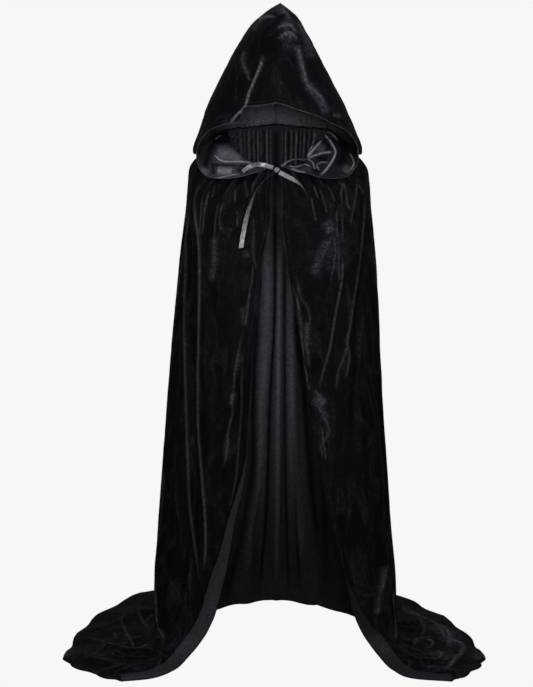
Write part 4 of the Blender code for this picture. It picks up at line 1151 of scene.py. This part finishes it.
# The hood's inside with its lower lobes, which lie open over the shoulders. Ridges and thin folds with
# painted highlights first: rise towards the eye, half width, shine, points.
lobeCreases = [
    (0.0021, 0.004, 1.0, [(-0.172, 1.368), (-0.150, 1.350), (-0.101, 1.347), (-0.066, 1.344)]),
    (0.0014, 0.003, 0.8, [(-0.222, 1.334), (-0.212, 1.318), (-0.192, 1.304), (-0.170, 1.303),
                          (-0.127, 1.311), (-0.095, 1.317)]),
    (0.0014, 0.003, 0.5, [(-0.216, 1.410), (-0.223, 1.385), (-0.224, 1.360), (-0.222, 1.334)]),
    (0.0010, 0.003, 0.7, [(-0.171, 1.408), (-0.163, 1.416), (-0.154, 1.420)]),
    (0.0028, 0.004, 0.9, [(0.078, 1.356), (0.092, 1.385), (0.104, 1.412), (0.100, 1.434)]),
    (0.0028, 0.004, 0.9, [(0.078, 1.356), (0.100, 1.384), (0.124, 1.408)]),
    (0.0028, 0.004, 0.8, [(0.078, 1.356), (0.112, 1.368), (0.150, 1.374)]),
    (0.0021, 0.0035, 0.6, [(0.078, 1.356), (0.093, 1.344), (0.099, 1.326)]),
    (0.0014, 0.003, 0.6, [(0.139, 1.345), (0.122, 1.346), (0.109, 1.342), (0.105, 1.335), (0.112, 1.322)]),
    (0.0035, 0.0045, 1.0, [(0.118, 1.444), (0.127, 1.427), (0.143, 1.402), (0.156, 1.375),
                           (0.148, 1.352), (0.130, 1.327), (0.110, 1.308)]),
    (0.0021, 0.004, 0.8, [(0.126, 1.432), (0.150, 1.424), (0.166, 1.404)]),
    (0.0021, 0.004, 0.7, [(0.196, 1.372), (0.207, 1.345), (0.195, 1.322)]),
    (0.0014, 0.003, 0.8, [(0.030, 1.331), (0.054, 1.315), (0.071, 1.312), (0.100, 1.310)]),
    (0.0017, 0.003, 0.8, [(0.024, 1.338), (0.048, 1.333), (0.072, 1.340), (0.090, 1.332)]),
    (0.0017, 0.003, 0.7, [(0.020, 1.344), (0.044, 1.350), (0.074, 1.356)]),
    (0.0014, 0.003, 0.6, [(0.212, 1.400), (0.219, 1.380), (0.219, 1.345), (0.200, 1.318)]),
]
# painted highlights on the lobes: amount, half width, points
lobeLights = [
    (0.22, 0.016, [(-0.165, 1.372), (-0.130, 1.366), (-0.092, 1.354)]),
    (0.45, 0.009, [(-0.163, 1.325), (-0.145, 1.323), (-0.120, 1.322)]),
    (0.60, 0.004, [(0.036, 1.330), (0.052, 1.3215), (0.075, 1.3155)]),
    (0.15, 0.012, [(-0.214, 1.325), (-0.190, 1.312)]),
    (0.10, 0.014, [(0.100, 1.395), (0.125, 1.375)]),
    (0.12, 0.012, [(0.195, 1.335), (0.180, 1.318)]),
    (0.05, 0.009, [(0.060, 1.330), (0.090, 1.326)]),
]
# painted shade in the lobes' hollows and folds, and along the centre seam
lobeShadows = [
    (0.99, 0.024, [(-0.195, 1.432), (-0.155, 1.424), (-0.112, 1.412)]),
    (0.98, 0.015, [(-0.180, 1.406), (-0.155, 1.402), (-0.128, 1.406)]),
    (0.95, 0.013, [(-0.172, 1.400), (-0.182, 1.375), (-0.193, 1.350), (-0.196, 1.328)]),
    (0.85, 0.006, [(-0.177, 1.345), (-0.174, 1.328), (-0.172, 1.312)]),
    (0.85, 0.005, [(-0.190, 1.342), (-0.150, 1.338), (-0.110, 1.338), (-0.078, 1.334)]),
    (0.80, 0.006, [(-0.110, 1.327), (-0.092, 1.324), (-0.078, 1.322)]),
    (0.95, 0.017, [(0.168, 1.425), (0.180, 1.395), (0.178, 1.360), (0.160, 1.330)]),
    (0.85, 0.009, [(0.100, 1.402), (0.128, 1.398), (0.146, 1.384)]),
    (0.85, 0.009, [(0.104, 1.360), (0.134, 1.352)]),
    (0.70, 0.006, [(0.090, 1.322), (0.110, 1.322)]),
    (0.60, 0.007, [(0.052, 1.343), (0.072, 1.347)]),
    (0.95, 0.0035, [(-0.003, 1.420), (-0.003, 1.640)]),
]
# gathers inside the hood, over the neck seam, drawn as lines of painted shade: x and height of the upper end,
# x of the lower end
hoodGathers = [
    (-0.125, 1.480, -0.106), (-0.110, 1.486, -0.090), (-0.087, 1.480, -0.079),
    (-0.068, 1.474, -0.064), (0.070, 1.476, 0.075), (0.084, 1.486, 0.091),
    (0.099, 1.484, 0.106), (0.117, 1.480, 0.130), (0.134, 1.474, 0.148),
]
lobeShadows += [(0.90, 0.0045, [(x, top), (xLow, 1.444)]) for x, top, xLow in hoodGathers]


def tucked(points, across, ups):
    tuck = hood["tuck"]
    nearEdge = (1 - ease(across, 0.0, tuck["reach"]))[None, :] * ease(ups, *tuck["from"])[:, None]
    fromLine = points[..., 0] - tuck["x"]
    inside = (1 - np.tanh(fromLine / tuck["soft"])) / 2
    fade = np.exp(-((fromLine / tuck["spread"]) ** 2))
    points[..., 2] += nearEdge * fade * (tuck["lift"] * inside - tuck["drop"] * (1 - inside))
    points[..., 1] += nearEdge * fade * tuck["step"] * (inside - 0.5)
    return points


# the hood's half with its folds, and how much of each point is in front
def hoodForm(side, across, ups):
    rows = [levelPoints(0.0, side, 1 - across)]
    rows[0][:, 2] += 2 * clothWall["seamTurn"]
    for row in hood["rows"]:
        rows.append(curveThrough(list(hood["across"].values()), row[1:], across, bounded=False))
    knots = [0.0] + [row[0] for row in hood["rows"]]
    stacked = np.array(rows).reshape(len(rows), -1)
    points = curveThrough(knots, stacked, ups, bounded=False).reshape(len(ups), len(across), 3)
    folds = hood["folds"]
    share = ease(ups, folds["from"], folds["full"]) * (1 - ease(ups, folds["full"], folds["gone"]))
    wave = np.cos(math.tau * folds["count"] * across) * ease(across, *folds["behindEdge"])
    push = folds["depth"] * share[:, None] * wave[None, :]
    gathers = hood["gathers"]
    ripple = np.cos(math.tau * gathers["count"] * (1 - across))
    started = ease(ups, *gathers["from"]) * (1 - ease(ups, gathers["from"][1], gathers["gone"]))
    push = push + gathers["depth"] * started[:, None] * ripple[None, :]
    points = points + push[..., None] * gridNormals(points)
    inFront = 1 - ease(points[..., 1], 0.03, 0.08)
    if side == "Left":
        points = tucked(points, across, ups)
    else:
        fan = hood["fan"]
        stands = np.exp(-(((points[..., 0] - fan["x"]) / fan["half"]) ** 2)) * inFront
        stands *= (ease(ups, 0.0, fan["from"]) * (1 - ease(ups, *fan["gone"])))[:, None]
        points = points + stands[..., None] * np.array(fan["shift"])
    return points, inFront


# the form with its creases and crumples, and the painted crest highlights, painted sheen patches and painted
# shadows of both faces
def hoodSurface(side, across, ups):
    points, inFront = hoodForm(side, across, ups)
    real = placed(points, side)
    x, y, z = np.moveaxis(real, -1, 0)
    lift, shine = creaseLift(x, z, hoodCreases)
    outside = ease(ups, *hood["outsideFrom"])[:, None] * (1 - ease(y, 0.03, 0.07))
    lobes = 1 - ease(ups, *hood["lobesTo"])[:, None] * np.ones(len(across))
    sunk, lobeShine = creaseLift(x, z, lobeCreases)
    rough, seam, neck = hood["crumple"], hood["seam"], hood["neckShade"]
    soft = layeredNoise(real, rough["longer"], rough["shorter"], 31)
    fine = softNoise(real, rough["finest"], 33)
    started = ease(ups, *rough["from"])[:, None]
    seamShare = np.exp(-((points[..., 0] / seam["half"]) ** 2)) * started
    push = lift * outside - sunk * lobes * inFront + (rough["soft"] * soft + rough["fine"] * fine) * started
    points = points + (push - seam["pull"] * seamShare)[..., None] * gridNormals(points)
    edge = np.exp(-((across / hood["edgeHalf"]) ** 2))[None, :]
    bent = ease(bendOf(points), *sharpBend["shines"]) * bendShine["hood"]
    bent = bent * ease(points[..., 0], *sharpBend["offSeam"])
    # painted shade in the neck seam and on the open lobes
    neckSeamShade = neck["amount"] * np.exp(-((ups / neck["half"]) ** 2))[:, None] * ease(y, 0.0, 0.06)
    shade = hood["lobeShade"][side] * lobes * inFront
    shadows = 1 - (1 - markShare(x, z, lobeShadows)) * (1 - neckSeamShade) * (1 - shade)
    lights = np.maximum(markShare(x, z, lobeLights), hood["lobeGloss"] * lobeShine) * lobes * inFront
    # painted light on the hood's inside
    lights = np.maximum(lights, hood["insideLight"] * (1 - lobes) * ease(y, 0.05, 0.10))
    behind = brushedSheenBehind(real) * ease(y, 0.06, 0.12)
    none = np.zeros(x.shape)
    # painted highlight on the front edge
    outEdgeLight, inEdgeLight = (light * edge for light in hood["edgeLight"])
    return points, {
        "crestHighlight": (np.maximum(np.maximum(shine * outside, bent), outEdgeLight), np.maximum(lights, inEdgeLight)),
        "brushedSheen": (np.maximum(markShare(x, z, hoodBrushedSheen) * outside, behind), none),
        "shadow": (none, shadows),
    }


def makeHood(side, looks):
    low, high = hood["rowsUp"]
    ups = np.concatenate([
        [0, 0.003], np.linspace(0.006, 0.40, low), np.linspace(0.405, 0.994, high), [0.998, 1.0],
    ])
    across = np.concatenate([[0, 0.004], np.linspace(0.009, 0.994, hood["columnsRound"]), [0.998, 1.0]])
    points, tones = hoodSurface(side, across, ups)
    piece = clothPiece("cloakHood" + side, points, side, tones, looks)
    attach(piece, "root")
    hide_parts("hood_" + side.lower())
    return piece, points


tie = {
    "width": 0.012, "thick": 0.0008, "crown": 0.0004, "ringsPerPoint": 14,
    "paths": {  # points, how far the ribbon has turned there in degrees, and how much it is in shade
        "left_run": [(-0.094, -0.152, 1.322, 40, 0.5), (-0.078, -0.152, 1.333, 20, 0.1),
                     (-0.058, -0.151, 1.340, -20, 0.5), (-0.036, -0.151, 1.339, 10, 0.0),
                     (-0.012, -0.152, 1.332, 30, 0.3)],
        "right_run": [(0.074, -0.134, 1.352, 60, 0.3), (0.050, -0.142, 1.354, 78, 0.1),
                      (0.028, -0.148, 1.348, 70, 0.0), (0.009, -0.151, 1.336, 50, 0.3)],
        "left_end": [(-0.010, -0.163, 1.318, 86, 0.9), (-0.034, -0.170, 1.301, 90, 1.0),
                     (-0.055, -0.171, 1.276, 90, 0.9), (-0.070, -0.169, 1.242, 55, 0.6),
                     (-0.082, -0.168, 1.205, 25, 0.35), (-0.091, -0.168, 1.163, 8, 0.1),
                     (-0.098, -0.168, 1.120, 0, 0.0)],
        "right_end": [(0.004, -0.164, 1.320, 10, 0.1), (0.024, -0.175, 1.310, 20, 0.0),
                      (0.045, -0.181, 1.298, 45, 0.1), (0.063, -0.182, 1.284, 76, 0.6),
                      (0.078, -0.180, 1.262, 90, 1.0)],
    },
    "nodes": {"left_run": "tie_run_left", "right_run": "tie_run_right",
              "left_end": "tie_end_left", "right_end": "tie_end_right"},
    "names": {"left_run": "tieRunLeft", "right_run": "tieRunRight",
              "left_end": "tieEndLeft", "right_end": "tieEndRight"},
    "endCut": 0.004,  # how much further one corner of a free end reaches than the other
    "cutLong": 0.06,  # and the part of the ribbon's length that it slants over
    "acrossShares": [1, 0.93, 0.6, 0.2, -0.2, -0.6, -0.93, -1],
    "thickShares": [0.4, 1, 0.8, 0.8, 0.8, 0.8, 1, 0.4],
}


def ribbonRings(path, cut):
    path = np.array(path, float)
    places = np.linspace(0, 1, tie["ringsPerPoint"] * (len(path) - 1) + 1)
    line = curveThrough(np.linspace(0, 1, len(path)), path, places, bounded=False)
    centre, turned = line[:, :3], np.radians(line[:, 3])
    along = unitOf(np.gradient(centre, axis=0))
    level = unitOf(np.cross(along, (0.0, -1.0, 0.0)))
    facing = np.cross(level, along)
    across = level * np.cos(turned)[:, None] + facing * np.sin(turned)[:, None]
    depth = unitOf(np.cross(along, across))
    shares = np.array(tie["acrossShares"])
    crown = tie["crown"] * (1 - shares**2)
    half = tie["thick"] / 2 * np.array(tie["thickShares"])
    over, under = crown + half, crown - half
    sideways = np.concatenate([shares, shares[::-1]]) * tie["width"] / 2
    outward = np.concatenate([over, under[::-1]])
    rings = (
        centre[:, None] + across[:, None] * sideways[None, :, None]
        + depth[:, None] * outward[None, :, None]
    )
    if cut:
        slant = np.exp(-((1 - places) / tie["cutLong"]) ** 2)[:, None] * sideways[None, :] / tie["width"]
        rings += along[:, None] * (slant * cut)[..., None]
    return centre, rings, np.clip(line[:, 4], 0, 1)


# one mesh from stacks of rings, each either closed into a loop or capped at its ends
def meshFromRings(name, parts, material):
    points, faces = [], []
    for rings, looped in parts:
        start = len(points)
        count, sides = rings.shape[:2]
        points += rings.reshape(-1, 3).tolist()
        number = start + np.arange(count * sides).reshape(count, sides)
        for k in range(count if looped else count - 1):
            here, ahead = number[k], number[(k + 1) % count]
            for s in range(sides):
                faces.append((here[s], here[s - 1], ahead[s - 1], ahead[s]))
        if not looped:
            faces.append(tuple(number[0]))
            faces.append(tuple(number[-1][::-1]))
    mesh = bpy.data.meshes.new(name)
    mesh.from_pydata(points, [], [tuple(int(n) for n in f) for f in faces])
    mesh.shade_smooth()
    mesh.set_sharp_from_angle(angle=math.radians(60))
    mesh.materials.append(material)
    return addPiece(name, mesh)


def makeRibbon(key, material):
    cut = tie["endCut"] if key.endswith("end") else 0
    centre, rings, shade = ribbonRings(tie["paths"][key], cut)
    down = np.array((0, 0, neckHeight))
    piece = meshFromRings(tie["names"][key], [(rings - down, False)], material)
    away = np.repeat(shade, rings.shape[1])
    piece.data.attributes.new("shadow", "FLOAT", "POINT").data.foreach_set("value", away)
    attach(piece, "root")
    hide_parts(tie["nodes"][key])
    return piece, centre - down


knot = {
    "at": (-0.003, -0.158, 1.326), "size": (0.014, 0.011, 0.015),
    "core": (0.86, 0.82, 0.92),  # of the size, under the wraps
    "coreRings": 19, "coreSides": 36, "lumps": 5, "lumpy": 0.05, "twist": 3,
    "wrapRings": 48, "thick": 0.0004, "bulge": 0.0009, "pinch": 0.3,
    "bandShare": 0.98, "bandWidth": 0.0070, "crossShares": (0.86, 0.88), "crossWidth": 0.0065,
}


# A loop of ribbon round the knot, in the plane of two directions.
def wrapRings(middle, first, second, sizes, width):
    first, second = unitOf(np.array(first, float)), unitOf(np.array(second, float))
    axis = unitOf(np.cross(first, second))
    angle = np.linspace(0, math.tau, knot["wrapRings"], endpoint=False)
    out = np.cos(angle)[:, None] * first * sizes[0] + np.sin(angle)[:, None] * second * sizes[1]
    normal = unitOf(out)
    shares = np.array([1, 0.5, 0, -0.5, -1])
    bulge = knot["bulge"] * (1 - shares**2)
    pinch = 1 - knot["pinch"] * np.cos(2 * angle)
    rows = []
    for way in (1, -1):
        lift = bulge[::way] + way * knot["thick"]
        rows.append(
            out[:, None] + axis * (shares[::way][None, :, None] * width / 2) * pinch[:, None, None]
            + normal[:, None] * lift[None, :, None]
        )
    return np.concatenate(rows, axis=1) + np.array(middle)


def makeKnot(material):
    at = np.array(knot["at"]) - (0, 0, neckHeight)
    size = np.array(knot["size"]) / 2
    turns = np.linspace(0, math.pi, knot["coreRings"])[1:-1]
    angle = np.linspace(0, math.tau, knot["coreSides"], endpoint=False)
    core = np.stack([
        np.sin(turns)[:, None] * np.cos(angle) * size[0] * knot["core"][0],
        np.sin(turns)[:, None] * np.sin(angle) * size[1] * knot["core"][1],
        np.cos(turns)[:, None] * np.ones(len(angle)) * size[2] * knot["core"][2],
    ], axis=-1)
    lumps = np.cos(knot["lumps"] * angle + knot["twist"] * np.cos(turns)[:, None])
    core *= (1 + knot["lumpy"] * lumps)[..., None]
    bandSize = (size[0] * knot["bandShare"], size[1] * knot["bandShare"])
    crossSize = (size[2] * knot["crossShares"][0], size[1] * knot["crossShares"][1])
    band = wrapRings(at, (1, 0, 0.25), (0, 1, 0), bandSize, knot["bandWidth"])
    cross = wrapRings(at, (0.35, 0, 1), (0, 1, 0), crossSize, knot["crossWidth"])
    piece = meshFromRings("tieKnot", [(core + at, False), (band, True), (cross, True)], material)
    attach(piece, "root")
    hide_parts("tie_knot")


sewing = {
    "stitch": 0.0026, "pitch": 0.0036, "thick": 0.0005, "fromEdge": 0.010, "fromHem": 0.012,
    # rings of a stitch: place along it in half stitches, then girth and height over the cloth in radii
    "profile": [(-1, 0.35, -0.6), (-0.6, 1, 0.2), (0.6, 1, 0.2), (1, 0.35, -0.6)], "corners": 4,
}


# Lockstitches along a line: short threads with narrow ends that dip into the cloth.
def stitchRings(line, normals):
    length = lengthAlong(line)
    count = int(length[-1] / sewing["pitch"])
    at = (np.arange(count) + 0.5) * length[-1] / count
    middle, normal = valuesAt(at, length, line), unitOf(valuesAt(at, length, normals))
    along = unitOf(valuesAt(at, length, np.gradient(line, axis=0)))
    over = unitOf(np.cross(along, normal))
    half, radius = sewing["stitch"] / 2, sewing["thick"] / 2
    rings = []
    for reach, girth, lift in sewing["profile"]:
        ring = []
        for corner in range(sewing["corners"]):
            turn = math.tau * corner / sewing["corners"]
            ring.append(
                middle + along * reach * half + normal * radius * (lift + girth * math.sin(turn))
                + over * radius * girth * math.cos(turn)
            )
        rings.append(np.stack(ring, axis=1))
    return np.stack(rings, axis=1)  # stitch, ring, corner, xyz


def makeStitches(name, lines, material):
    points, faces = [], []
    sides = sewing["corners"]
    last = sides * (len(sewing["profile"]) - 1)
    for line, normals in lines:
        for stitch in stitchRings(line, normals):
            start = len(points)
            points += stitch.reshape(-1, 3).tolist()
            for ring in range(start, start + last, sides):
                for corner in range(sides):
                    a, b = ring + corner, ring + (corner + 1) % sides
                    faces.append((a, a + sides, b + sides, b))
            faces.append(tuple(range(start, start + sides)))
            faces.append(tuple(range(start + last + sides - 1, start + last - 1, -1)))
    mesh = bpy.data.meshes.new(name)
    mesh.from_pydata(points, [], faces)
    mesh.shade_smooth()
    mesh.materials.append(material)
    piece = addPiece(name, mesh)
    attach(piece, "root")


# a grid's lines that run inward from one of its borders
def walkIn(grid, border):
    if border == "lastRow":
        return grid[::-1].transpose(1, 0, 2)
    return grid[:, ::-1] if border == "lastColumn" else grid


# the line at a distance in from a border of the grid, on its outer or inner face
def lineInFrom(grid, side, border, distance, face):
    walk = walkIn(grid, border)
    length = np.cumsum(np.linalg.norm(np.diff(walk, axis=1), axis=-1), axis=1)
    place = np.argmax(length > distance, axis=1) + 1
    rows = np.arange(len(walk))
    normal = walkIn(gridNormals(grid), border)[rows, place] * face
    line = placed(walk[rows, place] + normal * clothWall["thick"] / 2, side)
    line[:, 2] -= neckHeight
    return line, normal * (signOf[side], 1, 1)


def sewEdges(side, bodyGrid, hoodGrid, material):
    front, hem = sewing["fromEdge"], sewing["fromHem"]
    makeStitches("stitchesBody" + side, [
        lineInFrom(bodyGrid, side, "lastColumn", front, 1),
        lineInFrom(bodyGrid, side, "lastColumn", front, -1),
        lineInFrom(bodyGrid, side, "lastRow", hem, 1),
    ], material)
    makeStitches("stitchesHood" + side, [
        lineInFrom(hoodGrid, side, "firstColumn", front, 1),
        lineInFrom(hoodGrid, side, "firstColumn", front, -1),
    ], material)


studio = {
    "seen": 0.928,  # brightness of the pale floor and surround as the camera sees them
    "fill": 0.20,  # soft light from all round
    "floorHalf": 30, "floorColour": "#5a5a5a", "floorRoughness": 0.9,
    "boxes": [  # power in watts, beam in degrees; the last is narrow and stands behind the cloak
        {"at": (-2.6, -1.9, 1.5), "to": (0, 0, -0.2), "size": (1.2, 2.4), "power": 60},
        {"at": (2.6, -1.8, 1.3), "to": (0, 0, 0.0), "size": (1.2, 2.4), "power": 60},
        {"at": (0.1, -4.4, 0.3), "to": (0, 0, -0.2), "size": (1.2, 1.2), "power": 130},
        {"at": (0.3, -1.2, 2.4), "to": (0, 0, 0.1), "size": (1.6, 1.0), "power": 6},
        {"at": (0.0, 2.6, -0.1), "to": (0, 0, -0.3), "size": (0.3, 1.5), "power": 1.6, "beam": 16},
    ],
}


# The camera sees the floor and the surround as one flat pale grey. The cloak is lit by a soft fill and
# four softboxes, and a weak narrow beam from behind lets the black back be told from its shadows.
def makeStudio():
    half = studio["floorHalf"]
    mesh = bpy.data.meshes.new("studioFloor")
    corners = [(-half, -half), (half, -half), (half, half), (-half, half)]
    mesh.from_pydata([(x, y, -neckHeight) for x, y in corners], [], [(0, 1, 2, 3)])
    material, tree, shader = newMaterial("paleFloor", {
        "Base Color": linear(studio["floorColour"]), "Roughness": studio["floorRoughness"],
        "Specular IOR Level": 0.0,
    })
    rays = addNode(tree, "LightPath")
    seen = addNode(tree, "Emission", Color=(1, 1, 1, 1), Strength=studio["seen"])
    mixed = addNode(tree, "MixShader", _0=(rays, "Is Camera Ray"), _1=(shader, 0), _2=(seen, 0))
    feed(tree, tree.nodes["Material Output"], {"Surface": (mixed, 0)})
    mesh.materials.append(material)
    floor = addPiece("studioFloor", mesh)
    world = bpy.data.worlds.new("paleSurround")
    world.use_nodes = True
    tree = world.node_tree
    rays = addNode(tree, "LightPath")
    strength = addNode(
        tree, "MapRange", Value=(rays, "Is Camera Ray"), To_Min=studio["fill"], To_Max=studio["seen"],
    )
    feed(tree, tree.nodes["Background"], {"Color": (1, 1, 1, 1), "Strength": (strength, "Result")})
    bpy.context.scene.world = world
    for number, box in enumerate(studio["boxes"]):
        light = bpy.data.lights.new(f"softbox{number}", "AREA")
        light.shape = "RECTANGLE"
        light.size, light.size_y = box["size"]
        light.energy = box["power"]
        light.spread = math.radians(box.get("beam", 180))
        lamp = bpy.data.objects.new(light.name, light)
        lamp.location = box["at"]
        aim = Vector(box["to"]) - Vector(box["at"])
        lamp.rotation_euler = aim.to_track_quat("-Z", "Y").to_euler()
        bpy.context.scene.collection.objects.link(lamp)


bpy.context.scene.view_settings.view_transform = "Standard"
makeCamera()
looks = {"velvet": crushedVelvet(), "back": velvetInside()}
ribbonLook, threadLook = satinRibbon(), sewingThread()

ribbons = {key: makeRibbon(key, ribbonLook) for key in tie["paths"]}
makeKnot(ribbonLook)
print("tie made")

for side in signOf:
    piece, bodyGrid = makeBody(side, looks)
    print("body half made", side)
    piece, hoodGrid = makeHood(side, looks)
    print("hood half made", side)
    sewEdges(side, bodyGrid, hoodGrid, threadLook)
    print("edges sewn", side)

makeStudio()
print("floor and lights placed")
